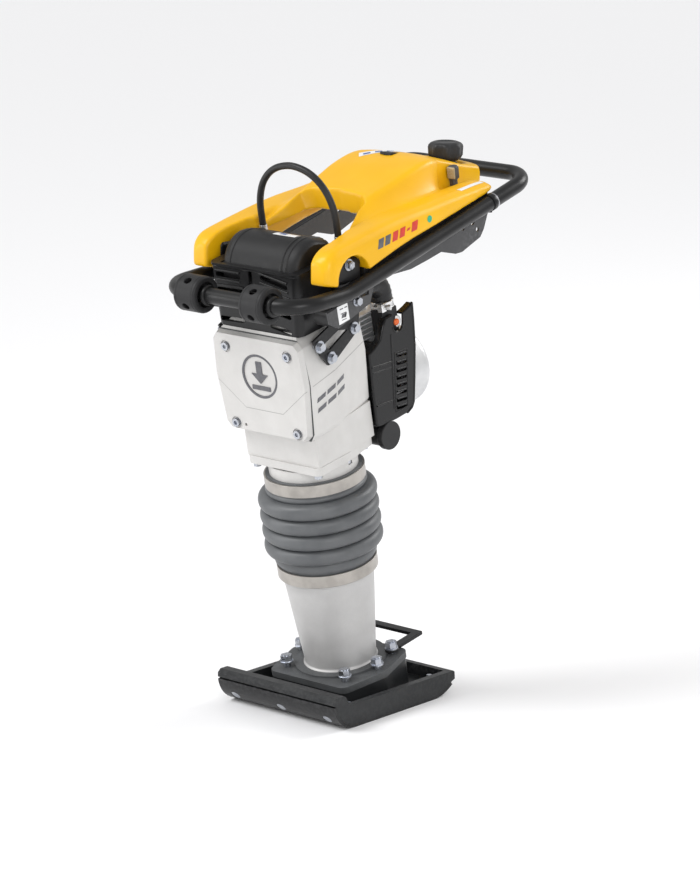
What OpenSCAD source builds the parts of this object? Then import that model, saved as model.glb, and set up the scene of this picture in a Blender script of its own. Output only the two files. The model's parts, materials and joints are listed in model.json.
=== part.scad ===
// Jumping jack rammer: a two-stroke vibratory tamping rammer, in millimetres.
// Front is -Y and up is +Z. The origin is the middle of the sole, on the ground.
// The ram axis leans forward; heights called s are measured along it.

/* [Stance] */
// Forward lean of the ram axis
lean = 11.1; // [10.6:0.1:11.6]
// Distance of the ram axis behind the middle of the sole
axis_y = 25.5; // [24:0.5:27]

/* [Shoe] */
// Width of the shoe
shoe_w = 280; // [270:1:290]
// Thickness of the steel sole plate
sole_t = 6; // [5:0.5:7]
// Height of the tray's floor
tray_z = 22; // [20:1:24]
// Height of the tray's wall
wall_z = 43; // [40:1:44]
// Radius of the sole's toe
toe_r = 56; // [55:0.5:57]

/* [Foot and spring cylinder] */
// Height of the foot flange's top face
foot_s = 78; // [76:0.5:80]
// Thickness of the foot flange
foot_t = 16; // [14:1:18]
// Outer radius of the spring cylinder at its foot
cyl_r_low = 65; // [64:0.5:66]
// Outer radius of the spring cylinder under its collar
cyl_r_top = 82; // [81:0.5:83]
// Height where the spring cylinder's cone ends
cyl_s = 250; // [248:1:252]

/* [Bellows] */
// Radius to the crest of a bellows fold
fold_r = 107; // [105:0.5:108]
// Radius to the valley between folds
valley_r = 88; // [87:0.5:90]
// Heights of the folds
fold_s = [314, 343, 372, 401]; // [300:1:410]
// Wall of the bellows
bellows_t = 5; // [4:0.5:6]

/* [Ram drive] */
// Height of the crank gear's shaft
gear_s = 642; // [641:0.5:643]
// Throw of the crank pin, half of the stroke
throw = 31; // [29:0.5:31]
// Distance between the rod's two eyes
rod_l = 130; // [128:1:132]
// Gear module
gear_m = 2.4; // [2.3:0.05:2.4]
// Teeth on the crank gear
gear_n = 60; // [56:2:60]
// Teeth on the pinion
pinion_n = 10; // [10, 12]

/* [Crankcase] */
// Half width of the crankcase behind its cover
case_w = 103; // [102:0.5:105]
// Half width of the crankcase at its rear
case_w_rear = 76; // [74:1:78]
// Place of the cover's rear face
cover_y = -90; // [-91:0.5:-89]
// Thickness of the front cover
cover_t = 12; // [11:0.5:13]
// Place of the crankcase's rear face
rear_y = 87; // [86:0.5:88]

/* [Guide handle] */
// Radius of the handle tube
tube_r = 14; // [13.5:0.1:14.3]
// Half distance between the two side tubes
handle_x = 157; // [156:0.5:158]
// Slope of the side tubes
slope = 15.9; // [15.5:0.1:16.2]
// Slope of the front loop
front_slope = 4; // [3:0.5:5]
// Front bar's distance ahead of the origin
bar_y = -280; // [-281:0.5:-278]
// Front bar's height
bar_z = 777; // [776:0.5:779]
// Radius of a guide roller
roller_r = 36; // [35:0.5:37]
// Length of a guide roller
roller_l = 66; // [64:1:68]

/* [Hidden] */
$fn = 72;

black = [0.09, 0.09, 0.10];
steel = [0.72, 0.72, 0.74];
casting = [0.84, 0.83, 0.81];
yellow = [0.98, 0.75, 0.08];
rubber = [0.16, 0.16, 0.17];

run = 0.05;                                // radial clearance of a shaft in its bore
half_w = shoe_w / 2;
toe_c = [-110, toe_r];                     // centre of the toe's curve, as (y, z)
heel_c = [104, 92];                        // centre of the heel's curve
heel_r = 92;
seat_r = 80;                               // seats that the bellows' cuffs grip
cuff_r = 87;                               // outside of a cuff
eye_s = gear_s + throw - rod_l;            // height of the wrist pin, crank pin at the top
pinion_s = gear_s - gear_m * (gear_n + pinion_n) / 2;
engine_y = 150;                            // middle of the engine's cylinder
deck_s = pinion_s + 52;                    // foot of the engine's cylinder
knee_y = -150;                             // where the side tubes start to climb
knee_z = bar_z + (knee_y - bar_y) * tan(front_slope);
mount_y = -122;                            // axis that the handle rocks on
mount_z = 769.5;
cap_x = 38;                                // fuel cap's place
cap_y = 252;
cap_z = 952;
lever_x = 88;                              // throttle lever's pivot
lever_y = 218;
lever_z = 905;

// ---- helpers ----
module on_axis() translate([0, axis_y, 0]) rotate([lean, 0, 0]) children();
module both() { children(); mirror([1, 0, 0]) children(); }
// a (y, z) outline drawn out along X
module side_prism(x0, x1) translate([x0, 0, 0]) rotate([90, 0, 90]) linear_extrude(x1 - x0) children();
// an (x, z) outline drawn out along Y
module front_prism(y0, y1) translate([0, y1, 0]) rotate([90, 0, 0]) linear_extrude(y1 - y0) children();
module rod_x(x0, x1, r, y, z) translate([x0, y, z]) rotate([0, 90, 0]) cylinder(r = r, h = x1 - x0);
module rod_y(y0, y1, r, x, z) translate([x, y0, z]) rotate([-90, 0, 0]) cylinder(r = r, h = y1 - y0);
module ring(r_in, r_out, h) difference() {
  cylinder(r = r_out, h = h);
  translate([0, 0, -1]) cylinder(r = r_in, h = h + 2);
}
module hex(flats, h) cylinder(r = flats / 2 / cos(30), h = h, $fn = 6);
function arc(c, r, a0, a1, n) = [for (i = [0 : n]) let (a = a0 + (a1 - a0) * i / n) c + r * [cos(a), sin(a)]];
function backward(list) = [for (i = [len(list) - 1 : -1 : 0]) list[i]];

// ---- foot ----
// underside of the shoe, a distance t inside the sole's outer face
function sole_line(t) = concat(
  arc(toe_c, toe_r - t, 190, 270, 10),
  arc(heel_c, heel_r - t, 270, 306, 6)
);

module sole_plate() color(black) difference() {
  side_prism(-half_w, half_w) polygon(concat(sole_line(0), backward(sole_line(sole_t))));
  for (x = [-110, 0, 110]) sole_hole(x);
}
// the toe bolts stand square to the toe's curve
module sole_hole(x) translate([x, toe_c[0], toe_c[1]]) rotate([-46, 0, 0]) {
  translate([0, 0, -toe_r - 1]) cylinder(r1 = 11, r2 = 6.2, h = sole_t - 0.5);
  translate([0, 0, -toe_r]) cylinder(r = 6.2, h = 30);
}

module shoe_body() color(black) difference() {
  union() {
    difference() {
      side_prism(-half_w, half_w) polygon(concat(
        sole_line(sole_t + 0.05),
        [[165, 27], [164, wall_z - 3], [160, wall_z], [-124, wall_z], [-134, 60], [-140, 64],
         [-158, 64], [-165, 58], [-165, 50], [-159.9, 47.7]]
      ));
      translate([-half_w + 13, -118, tray_z]) cube([shoe_w - 26, 266, 60]);
    }
    // pedestal under the foot flange
    intersection() {
      on_axis() hull() foot_corners() cylinder(r = 15, h = foot_s - foot_t, $fn = 32);
      translate([-150, -150, tray_z - 1.5]) cube([300, 300, 100]);
    }
  }
  for (x = [-110, 0, 110]) sole_hole(x);
  for (x = [-115, 115], y = [-100, 122]) translate([x, y, -1]) cylinder(r = 5.2, h = 40);
  flange_spots() translate([0, 0, 34]) cylinder(r = 6.5, h = 60);
}

module foot_corners() for (p = [[-76, -80], [76, -80], [-95, -6], [95, -6], [-76, 66], [76, 66]])
  translate([p[0], p[1], 0]) children();
module flange_spots() on_axis()
  for (p = [[-70, -68], [70, -68], [-91, -4], [91, -4], [-71, 60], [71, 60]]) translate([p[0], p[1], 0]) children();

module sole_bolts() color(steel) {
  for (x = [-110, 0, 110]) translate([x, toe_c[0], toe_c[1]]) rotate([-46, 0, 0]) {
    translate([0, 0, -toe_r + 0.8]) cylinder(r1 = 9.2, r2 = 6, h = 4);
    translate([0, 0, -toe_r + 4.8]) cylinder(r = 6, h = 23);
  }
  for (x = [-115, 115], y = [-100, 122]) translate([x, y, tray_z]) {
    translate([0, 0, -11]) cylinder(r = 5, h = 11);
    cylinder(r = 11, h = 2);
    translate([0, 0, 2]) hex(16, 9);
    translate([0, 0, 11]) cylinder(r = 5, h = 6);
  }
}

module foot_flange() color([0.33, 0.34, 0.35]) difference() {
  on_axis() {
    translate([0, 0, foot_s - foot_t]) hull() foot_corners() cylinder(r = 17, h = foot_t - 4, $fn = 32);
    translate([0, 0, foot_s - 5]) cylinder(r = 84, h = 5);
  }
  on_axis() {
    translate([0, 0, foot_s - foot_t - 1]) cylinder(r = 58.02, h = foot_t);
    translate([0, 0, foot_s - 4.01]) cylinder(r = 68.05, h = 6);
  }
  flange_spots() translate([0, 0, 30]) cylinder(r = 6.5, h = 60);
}

module flange_nuts() color(steel) flange_spots() {
  translate([0, 0, 35]) cylinder(r = 6.4, h = 62);
  translate([0, 0, foot_s + 4.2]) ring(6.4, 12, 2.3);
  translate([0, 0, foot_s + 6.5]) difference() {
    hex(19, 11);
    translate([0, 0, -1]) cylinder(r = 6.4, h = 13);
  }
}

// a flat bar bent into a U and held by the two rear nuts
module lift_bar() color(black) on_axis() difference() {
  translate([0, 0, foot_s]) {
    both() translate([71, 60, 0]) {
      cylinder(r = 13, h = 4);
      translate([-11, 0, 0]) cube([15, 82, 4]);
      translate([-11, 20, -3]) cube([15, 62, 7]);
    }
    translate([-75, 128, -3]) cube([150, 14, 7]);
  }
  for (x = [-71, 71]) translate([x, 60, 0]) cylinder(r = 6.5, h = 200);
}

module spring_cylinder() color([0.70, 0.69, 0.69]) on_axis() rotate_extrude() polygon([
  [60, foot_s - 4], [68, foot_s - 4], [68, foot_s], [cyl_r_low + 0.5, foot_s + 3], [cyl_r_low, foot_s + 6],
  [cyl_r_top, cyl_s - 2], [86, cyl_s - 1], [86, cyl_s + 2], [seat_r, cyl_s + 2], [seat_r, cyl_s + 32],
  [74, cyl_s + 32], [74, 205], [60, 195]
]);

module clamp(r, s, h, screw_a) on_axis() translate([0, 0, s]) rotate([0, 0, screw_a]) {
  ring(r, r + 3.5, h);
  translate([r + 2.5, -14, h / 2 - 6]) difference() {
    cube([10, 28, 12]);
    translate([-1, 10, -1]) cube([12, 8, 14]);
  }
}
module lower_clamp() color([0.74, 0.70, 0.65]) clamp(cuff_r + run, 254, 22, 120);
module upper_clamp() color([0.74, 0.70, 0.65]) clamp(cuff_r + run, 428, 22, 120);

// one fold after another, up the outside and back down the inside
function folds(d) = [for (i = [0 : 3]) each concat(
  arc([94 - d, fold_s[i]], fold_r - 94, -75, 75, 8),
  i < 3 ? [[valley_r - d, (fold_s[i] + fold_s[i + 1]) / 2]] : []
)];
module bellows() color([0.37, 0.39, 0.40]) on_axis() rotate_extrude() polygon(concat(
  [[cuff_r, 253], [cuff_r, 279], [93, 281], [93, 298]],
  folds(0),
  [[cuff_r, 421], [cuff_r, 452], [seat_r + run, 452], [seat_r + run, 415]],
  backward(folds(bellows_t)),
  [[valley_r - bellows_t, 296], [85, 283], [seat_r + run, 282], [seat_r + run, 253]]
));

module guide_bush() color([0.25, 0.25, 0.22]) on_axis() translate([0, 0, 212]) ring(62 + run, 74, 70);

module spring_tube() color(steel) on_axis() difference() {
  union() {
    translate([0, 0, foot_s + 4]) cylinder(r = 48, h = 252);
    translate([0, 0, foot_s - 4]) cylinder(r = 58, h = 8);
  }
  translate([0, 0, foot_s + 6]) cylinder(r = 44, h = 240);
  translate([0, 0, 300]) cylinder(r = 14 + run, h = 60);
}

// helix of round wire as one swept solid
module spring(r, wire, s0, s1, turns) {
  sides = 6;
  steps = 12;
  n = turns * steps;
  rings = [for (i = [0 : n]) let (a = 360 * i / steps, z = s0 + (s1 - s0) * i / n)
    [for (j = [0 : sides - 1]) let (b = 360 * j / sides, q = r + wire * cos(b))
      [q * cos(a), q * sin(a), z + wire * sin(b)]]];
  last = sides * n;
  polyhedron(
    points = [for (ring_points = rings) each ring_points],
    faces = concat(
      [[for (j = [0 : sides - 1]) sides - 1 - j]],
      [for (i = [0 : n - 1], j = [0 : sides - 1]) let (k = (j + 1) % sides)
        [sides * i + j, sides * i + k, sides * (i + 1) + k, sides * (i + 1) + j]],
      [[for (j = [0 : sides - 1]) last + j]]
    ),
    convexity = 10
  );
}
module ram_springs() color([0.30, 0.34, 0.40]) on_axis() {
  spring(37, 5.5, 91, 186, 5);
  spring(37, 5.5, 211, 317, 6);
  spring(23, 3.5, 89, 188, 7);
  spring(23, 3.5, 209, 319, 8);
}

// rod with the spring plate at its foot and a fork for the connecting rod at its head
module plunger() color(steel) on_axis() difference() {
  union() {
    translate([0, 0, 130]) cylinder(r = 14, h = eye_s - 217);
    translate([0, 0, 193]) cylinder(r = 43, h = 10);
    difference() {
      translate([0, 0, eye_s - 98]) cylinder(r = 50, h = 8);
      translate([-60, 24, eye_s - 110]) cube([120, 40, 200]);
    }
    both() intersection() {
      translate([0, 0, eye_s - 98]) cylinder(r = 50, h = 118);
      union() {
        translate([-60, -24, eye_s - 98]) cube([120, 8, 114]);
        translate([-60, 16, eye_s - 98]) cube([120, 8, 114]);
      }
    }
  }
  translate([0, 0, 129]) cylinder(r = 5, h = 40);
}

// ---- crankcase ----
// outline of the crankcase seen from the front, as (x, s)
function case_outline(w) = [
  [12 - w, 548], [w - 12, 548], [w - 3, 562], [w + 4, 655], [w - 3, 722], [w - 14, 735],
  [14 - w, 735], [3 - w, 722], [-w - 4, 655], [3 - w, 562]
];
module case_solid(grow) {
  hull() {
    front_prism(cover_y, cover_y + 1) offset(delta = grow) polygon(case_outline(case_w));
    front_prism(-20, -19) offset(delta = grow) polygon(case_outline(case_w - 4));
    front_prism(rear_y - 1, rear_y) offset(delta = grow) polygon(case_outline(case_w_rear));
    translate([-case_w_rear + 8, -70, 735]) cube([2 * case_w_rear - 16, 140, 22 + grow]);
  }
  // narrower block between the cover and the bottom flange
  hull() {
    translate([-84 - grow, -74 - grow, 489]) cube([168 + 2 * grow, 90, 66 - grow]);
    translate([-74 - grow, -74 - grow, 489]) cube([148 + 2 * grow, rear_y + 74 + grow, 66 - grow]);
  }
}

module crankcase() color(casting) difference() {
  on_axis() union() {
    difference() {
      case_solid(0);
      difference() {
        intersection() {
          case_solid(-9);
          translate([-200, cover_y - 1, 498]) cube([400, rear_y - cover_y - 10, 226]);
        }
        // posts that the cover's screws go into
        both() for (s = [563, 706.5]) translate([59, cover_y - 1, s - 13]) cube([60, 30, 26]);
        rod_y(50, rear_y, 42, 0, gear_s);
        rod_y(56, rear_y, 27, 0, pinion_s);
      }
    }
    rod_y(rear_y - 1, rear_y + 4, 52, 0, pinion_s);
  }
  on_axis() {
    translate([0, 0, 480]) cylinder(r = 62.3, h = 40);
    for (x = [-72, 72], s = [563, 706.5]) rod_y(cover_y - 1, -66, 4, x, s);
    rod_y(49, 72, 32, 0, gear_s);
    rod_y(40, 76, 17, 0, gear_s);
    rod_y(55, rear_y + 6, 17.5, 0, pinion_s);
    flange_screws() translate([0, 0, 470]) cylinder(r = 5, h = 45);
    for (p = bracket_holes) rod_x(-130, 130, 5, p[0], p[1]);
    for (x = [-88, 88]) translate([x, 49, 700]) cylinder(r = 8, h = 100);
  }
}

module cover_gasket() color([0.25, 0.27, 0.26]) on_axis() front_prism(cover_y - 1, cover_y) difference() {
  polygon(case_outline(case_w));
  offset(delta = -9) polygon(case_outline(case_w));
  for (x = [-72, 72], s = [563, 706.5]) translate([x, s]) circle(r = 4.5);
}

module front_cover() color(casting) on_axis() difference() {
  hull() {
    front_prism(cover_y - 3, cover_y - 1) polygon(cover_outline(0));
    front_prism(cover_y - cover_t, cover_y - cover_t + 1) polygon(cover_outline(3));
  }
  rod_y(cover_y - cover_t - 1, cover_y - cover_t + 1.5, 41, 0, 660);
  for (x = [-72, 72], s = [563, 706.5]) {
    rod_y(cover_y - 20, cover_y + 1, 4.5, x, s);
    rod_y(cover_y - 20, cover_y - cover_t + 3, 11, x, s);
  }
  rod_y(cover_y - 20, cover_y - cover_t + 5, 3, -50, 562);
}
function cover_outline(d) = [
  [-86 + d, 549 + d], [86 - d, 549 + d], [97 - d, 560 + d], [106 - d, 655], [102 - d, 722 - d], [92 - d, 733 - d],
  [-92 + d, 733 - d], [-102 + d, 722 - d], [-106 + d, 655], [-97 + d, 560 + d]
];

module cover_screws() color(steel) on_axis() for (x = [-72, 72], s = [563, 706.5]) difference() {
  union() {
    rod_y(cover_y - cover_t - 4, cover_y - cover_t + 3, 7.5, x, s);
    rod_y(cover_y - cover_t + 3, -67, 4, x, s);
  }
  translate([x, cover_y - cover_t - 5, s]) rotate([-90, 0, 0]) hex(7, 5);
}

// ---- guide cylinder under the crankcase ----
module flange_screws() for (p = [[-72, -66], [0, -68], [72, -66], [73, 10], [-73, 10], [-58, 74], [58, 74]])
  translate([p[0], p[1], 0]) children();
module guide_cylinder() color([0.78, 0.77, 0.75]) on_axis() difference() {
  union() {
    hull() {
      for (x = [-74, 74], y = [-66, 8]) translate([x, y, 474]) cylinder(r = 11, h = 15, $fn = 32);
      for (x = [-62, 62]) translate([x, 75, 474]) cylinder(r = 11, h = 15, $fn = 32);
    }
    translate([0, 0, 420]) cylinder(r = seat_r, h = 52);
    translate([0, 0, 200]) cylinder(r = 62, h = 300);
  }
  translate([0, 0, 190]) cylinder(r = 56, h = 320);
  translate([0, 0, 419]) ring(66, 74, 40);
  flange_screws() {
    translate([0, 0, 460]) cylinder(r = 5, h = 50);
    translate([0, 0, 464]) cylinder(r = 8.2, h = 10);
  }
}
module flange_bolts() color(steel) on_axis() flange_screws() {
  translate([0, 0, 466]) hex(13, 8);
  translate([0, 0, 473]) cylinder(r = 4.9, h = 24);
}

// ---- ram drive ----
// spur gear with straight flanks; its teeth are thinned for backlash
module gear(n, width) {
  pitch = gear_m * n / 2;
  tip = pitch + 0.92 * gear_m;
  root = pitch - 1.2 * gear_m;
  half = 90 / n * 0.90;
  slant = gear_m / pitch * tan(20) * 180 / PI;
  linear_extrude(width) polygon([for (i = [0 : n - 1], c = [
    [root, -half - 1.2 * slant], [tip, -half + 0.92 * slant], [tip, half - 0.92 * slant], [root, half + 1.2 * slant]
  ]) let (a = 360 * (i + 0.5) / n + c[1]) c[0] * [cos(a), sin(a)]]);
}
module crank_gear() color([0.55, 0.55, 0.57]) on_axis() {
  difference() {
    translate([0, 28, gear_s]) rotate([-90, 90, 0]) rotate([0, 0, 180 / gear_n]) gear(gear_n, 18);
    for (a = [60 : 60 : 300]) rod_y(20, 50, 11, 48 * sin(a), gear_s + 48 * cos(a));
  }
  rod_y(45, 71, 15, 0, gear_s);
  rod_y(-15, 30, 11, 0, gear_s + throw);
  rod_y(-17, -14.5, 14, 0, gear_s + throw);
}
module bearings() color(steel) on_axis() {
  translate([0, 49.5, gear_s]) rotate([-90, 0, 0]) ring(15 + run, 32, 20);
  translate([0, 56, pinion_s]) rotate([-90, 0, 0]) ring(8 + run, 17.5, 20);
}
module clutch_drum() color([0.5, 0.5, 0.52]) on_axis() {
  translate([0, 28, pinion_s]) rotate([-90, 90, 0]) gear(pinion_n, 18);
  rod_y(45, 96, 8, 0, pinion_s);
  translate([0, 95, pinion_s]) rotate([-90, 0, 0]) {
    cylinder(r = 39, h = 4);
    ring(35.5, 39, 22);
  }
}
module conrod() color(steel) on_axis() difference() {
  union() {
    rod_y(-13, 13, 20, 0, gear_s + throw);
    rod_y(-11, 11, 15, 0, eye_s);
    translate([-8, -7, eye_s]) cube([16, 14, rod_l]);
  }
  rod_y(-20, 20, 11 + run, 0, gear_s + throw);
  rod_y(-20, 20, 9, 0, eye_s);
}
module wrist_pin() color([0.5, 0.5, 0.52]) on_axis() rod_y(-14, 14, 9, 0, eye_s);

// ---- engine ----
module engine_housing() color([0.13, 0.13, 0.14]) on_axis() difference() {
  union() {
    rod_y(rear_y + 4, 202, 50, 0, pinion_s);
    translate([-34, engine_y - 34, pinion_s]) cube([68, 68, deck_s - pinion_s]);
    translate([-60, rear_y + 4, 505]) cube([120, 60, 12]);
  }
  rod_y(rear_y + 3, 122, 42, 0, pinion_s);
  rod_y(128, 176, 34, 0, pinion_s);
  rod_y(80, 210, 9 + run, 0, pinion_s);
  translate([0, engine_y, pinion_s]) cylinder(r = 27, h = 60);
}
module crankshaft() color([0.6, 0.6, 0.62]) on_axis() {
  rod_y(103, 140, 9, 0, pinion_s);
  rod_y(160, 236, 9, 0, pinion_s);
  rod_y(133, 141, 31, 0, pinion_s);
  rod_y(159, 167, 31, 0, pinion_s);
  rod_y(140, 160, 7, 0, pinion_s - 19);
}
module clutch_shoes() color([0.45, 0.42, 0.38]) on_axis() translate([0, 101, pinion_s]) rotate([-90, 0, 0])
  for (a = [0, 120, 240]) rotate([0, 0, a]) difference() {
    intersection() {
      ring(9.5, 35, 14);
      translate([0, 0, -1]) linear_extrude(16) polygon([[6, 0], [45, -58], [45, 58]]);
    }
    translate([24, 0, -1]) cylinder(r = 4, h = 16);
  }
module flywheel() color([0.55, 0.55, 0.56]) on_axis() translate([0, 206, pinion_s]) rotate([-90, 0, 0]) difference() {
  union() {
    cylinder(r = 56, h = 6);
    cylinder(r = 18, h = 22);
    for (a = [0 : 30 : 330]) rotate([0, 0, a]) translate([24, -1.5, 0]) cube([30, 3, 20]);
  }
  translate([0, 0, -1]) cylinder(r = 9 + run, h = 30);
}
module engine_cylinder() color([0.62, 0.62, 0.62]) on_axis() translate([0, engine_y, 0]) difference() {
  union() {
    translate([0, 0, deck_s]) cylinder(r = 30, h = 90);
    for (i = [0 : 8]) translate([-44, -44, deck_s + 12 + 9 * i]) cube([88, 88, 3]);
    translate([-34, -34, deck_s]) cube([68, 68, 6]);
  }
  translate([0, 0, deck_s - 10]) cylinder(r = 23, h = 90);
  translate([0, 0, deck_s + 70]) cylinder(r = 6, h = 30);
}
module engine_piston() color([0.75, 0.75, 0.76]) on_axis() translate([0, engine_y, 0]) difference() {
  translate([0, 0, deck_s + 20]) cylinder(r = 23 - run, h = 36);
  translate([0, 0, deck_s + 15]) cylinder(r = 19, h = 34);
}
module spark_plug() color(black) on_axis() translate([0, engine_y, 0]) {
  translate([0, 0, deck_s + 82]) cylinder(r = 6, h = 10);
  translate([0, 0, deck_s + 90]) hex(17, 8);
  translate([0, 0, deck_s + 97]) cylinder(r = 9, h = 24);
}
// side cover with its rear louvres, open at the back for the starter
module engine_shroud() color([0.11, 0.11, 0.12]) on_axis() difference() {
  side_prism(-80, 80) polygon(shroud_outline(0));
  side_prism(-76.5, 76.5) polygon(shroud_outline(3.5));
  translate([-70, 190, 480]) cube([140, 60, 240]);
  translate([-74, 100, 640]) cube([148, 120, 80]);
  // room for the engine in the front and rear walls, and for the buffer below
  translate([-74, 80, 499]) cube([148, 18, 130]);
  rod_y(170, 210, 50.3, 0, pinion_s);
  rod_y(195, 300, 77.5, 0, pinion_s);
  rod_x(15, 90, 26.3, 122, 476);
  // notch in the top edge
  rod_x(40, 90, 15, 182, 668);
  translate([40, 167, 668]) cube([50, 30, 60]);
  for (i = [0 : 7]) translate([70, 160 + 3 * i, 617 - 15.5 * i]) cube([20, 28, 7]);
}
function shroud_outline(d) = [
  [95 - d / 10, 640], [130, 652], [150, 690 - d], [172, 690], [196, 684], [226 - d, 693],
  [218 - d, 610], [196 - d, 506 + d], [150, 498 + d], [91 + d, 500 + d]
];
// pressed dome over the recoil starter
module starter_housing() color([0.80, 0.80, 0.80]) on_axis() translate([0, 0, pinion_s]) rotate([-90, 0, 0])
  rotate_extrude() polygon(concat(
    [[66, 204], [76, 204]], arc([60, 244], 17, 0, 60, 5), [[40, 276], [12, 281], [0, 281], [0, 278]],
    [[12, 278], [38, 273]], backward(arc([58, 242], 15, 0, 60, 5)), [[72, 208], [66, 208]]
  ));
module starter_grip() color(black) on_axis() translate([-46, 262, pinion_s + 58]) rotate([-50, 0, 0]) {
  translate([0, 0, 7]) cylinder(r = 6, h = 18);
  translate([-22, 0, 30]) rotate([0, 90, 0]) cylinder(r = 9, h = 44);
}
module carburettor() color([0.55, 0.55, 0.56]) on_axis() {
  translate([46, 150, 652]) cube([26, 40, 46]);
  rod_x(44, 46.5, 12, 165, 670);
}
// hose from the air filter, bent down onto the carburettor
module intake_elbow() color(rubber) on_axis() {
  translate([56, 170, 698]) cylinder(r = 20, h = 26);
  translate([56, 142, 724]) rotate([90, 0, 90]) rotate_extrude(angle = 90) translate([28, 0]) circle(r = 20);
  rod_y(96, 142, 20, 56, 752);
}
module hose_clamp() color(steel) on_axis() translate([56, 170, 703]) ring(20.05, 22.5, 11);
module engine_buffer() color(rubber) on_axis() {
  rod_x(20, 70, 22, 122, 476);
  rod_x(70, 82, 26, 122, 476);
}

// ---- exhaust guard and air filter at the front ----
module muffler() color([0.35, 0.35, 0.36]) on_axis() {
  translate([-82, -72, 770]) cube([164, 92, 62]);
  translate([-10, 20, 790]) rotate([-90, 0, 0]) ring(14, 17, 60);
}
module muffler_guard() color(black) on_axis() difference() {
  hull() {
    front_prism(-90, -89) polygon([[-97, 734], [97, 734], [104, 850], [-104, 850]]);
    front_prism(30, 31) polygon([[-97, 745], [97, 745], [100, 850], [-100, 850]]);
  }
  hull() {
    front_prism(-87, -86) polygon([[-94, 730], [94, 730], [101, 860], [-101, 860]]);
    front_prism(31, 32) polygon([[-94, 730], [94, 730], [97, 860], [-97, 860]]);
  }
  // slots: level ones on one side, slanting ones on the other
  for (i = [0 : 4]) {
    translate([-86, -95, 748 + 21 * i]) cube([58, 12, 8]);
    translate([16, -95, 758 + 21 * i]) rotate([0, 12, 0]) cube([62, 12, 9]);
  }
  translate([-12, -95, 800]) cube([16, 12, 60]);
  case_solid(0.3);
}
module filter_housing() color(black) on_axis() difference() {
  translate([-78, -60, 834]) cube([156, 90, 16]);
  translate([-75, -57, 837]) cube([150, 84, 20]);
}
module filter_element() color([0.80, 0.74, 0.55]) on_axis() translate([-66, -52, 837]) cube([132, 74, 16]);
// arched cover with a raised band near each end
module filter_cover() color(black) on_axis() difference() {
  union() {
    side_prism(-86, 86) polygon(cover_arch(0, 850));
    for (x = [-70, 58]) side_prism(x, x + 12) polygon(cover_arch(-3, 852));
  }
  side_prism(-83, 83) polygon(cover_arch(3, 846));
  for (x = [-88, 88]) translate([x, 49, 800]) cylinder(r = 8.3, h = 100);
}
function cover_arch(d, foot) = concat(
  [[-72 + d, foot]], arc([-14, 836], 56 - d, 162, 75, 8), [[36 - d, 878 - d], [44 - d, foot]]
);

// ---- lifting cable ----
module cable_ends() color([0.75, 0.75, 0.76]) on_axis() both() translate([88, 49, 0]) {
  translate([0, 0, 745]) cylinder(r = 8, h = 95);
  translate([0, 0, 840]) cylinder(r = 7.2, h = 38);
}
cable_route = [[-88, 0, 878], [-88, 0, 890], [-88, 0, 904], [-87, 0, 918], [-84, 0, 932], [-79, 0, 946],
  [-72, 0, 959], [-62, 0, 971], [-50, 0, 981], [-35, 0, 989], [-18, 0, 994], [0, 0, 996]];
module lifting_cable() color(rubber) on_axis() translate([0, 49, 0])
  swept(concat(cable_route, [for (i = [len(cable_route) - 2 : -1 : 0]) [-cable_route[i][0], 0, cable_route[i][2]]]), 6.2, 10);
// round tube along points in the XZ plane
module swept(points, r, sides) {
  n = len(points) - 1;
  dirs = [for (i = [0 : n]) let (d = points[min(i + 1, n)] - points[max(i - 1, 0)]) d / norm(d)];
  rings = [for (i = [0 : n]) [for (j = [0 : sides - 1]) let (b = 360 * j / sides)
    points[i] + r * (cos(b) * [dirs[i][2], 0, -dirs[i][0]] + sin(b) * [0, 1, 0])]];
  polyhedron(
    points = [for (ring_points = rings) each ring_points],
    faces = concat(
      [[for (j = [0 : sides - 1]) j]],
      [for (i = [0 : n - 1], j = [0 : sides - 1]) let (k = (j + 1) % sides)
        [sides * i + k, sides * i + j, sides * (i + 1) + j, sides * (i + 1) + k]],
      [[for (j = [0 : sides - 1]) sides * n + sides - 1 - j]]
    ),
    convexity = 6
  );
}

// ---- brackets between the crankcase and the handle ----
bracket_holes = [[-60, 716], [-35, 687], [32, 718]];
module side_brackets() color(black) on_axis() both() difference() {
  side_prism(107.5, 112) polygon([
    [-74, 730], [-66, 710], [-44, 676], [-28, 676], [44, 712], [50, 740], [96, 800], [0, 806], [-22, 745]
  ]);
  side_prism(100, 120) polygon([[-48, 716], [-36, 701], [16, 721], [-8, 728]]);
  for (p = bracket_holes) rod_x(100, 120, 5, p[0], p[1]);
}
module bracket_bolts() color(steel) on_axis() both() for (p = bracket_holes)
  translate([112, p[0], p[1]]) rotate([0, 90, 0]) {
    cylinder(r = 11, h = 2);
    translate([0, 0, 2]) hex(13, 7);
    translate([0, 0, -22]) cylinder(r = 4.9, h = 22);
  }
module rubber_buffers() color(rubber) both() {
  difference() {
    union() {
      rod_x(112.3, 141, 17, mount_y, mount_z);
      rod_x(140, 148.5, 8.8, mount_y, mount_z);
    }
    rod_x(100, 150, 6 + run, mount_y, mount_z);
  }
  rod_x(112.3, 148.5, 15, mount_y - 50, mount_z - 24);
}
module pivot_bolts() color(steel) both() {
  rod_x(118, 153, 6, mount_y, mount_z);
  translate([153, mount_y, mount_z]) rotate([0, 90, 0]) { cylinder(r = 8.9, h = 2); translate([0, 0, 2]) hex(13, 7); }
}

// ---- guide handle ----
module on_slope() translate([0, knee_y, knee_z]) rotate([slope, 0, 0]) children();
module on_front() translate([0, knee_y, knee_z]) rotate([front_slope, 0, 0]) children();
module on_mitre() translate([0, knee_y, knee_z]) rotate([(slope + front_slope) / 2, 0, 0]) children();
slope_l = 522;                             // length of the climbing part, to the rear bar
front_l = (knee_y - bar_y) / cos(front_slope);
tube_wall = 2.5;
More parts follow.
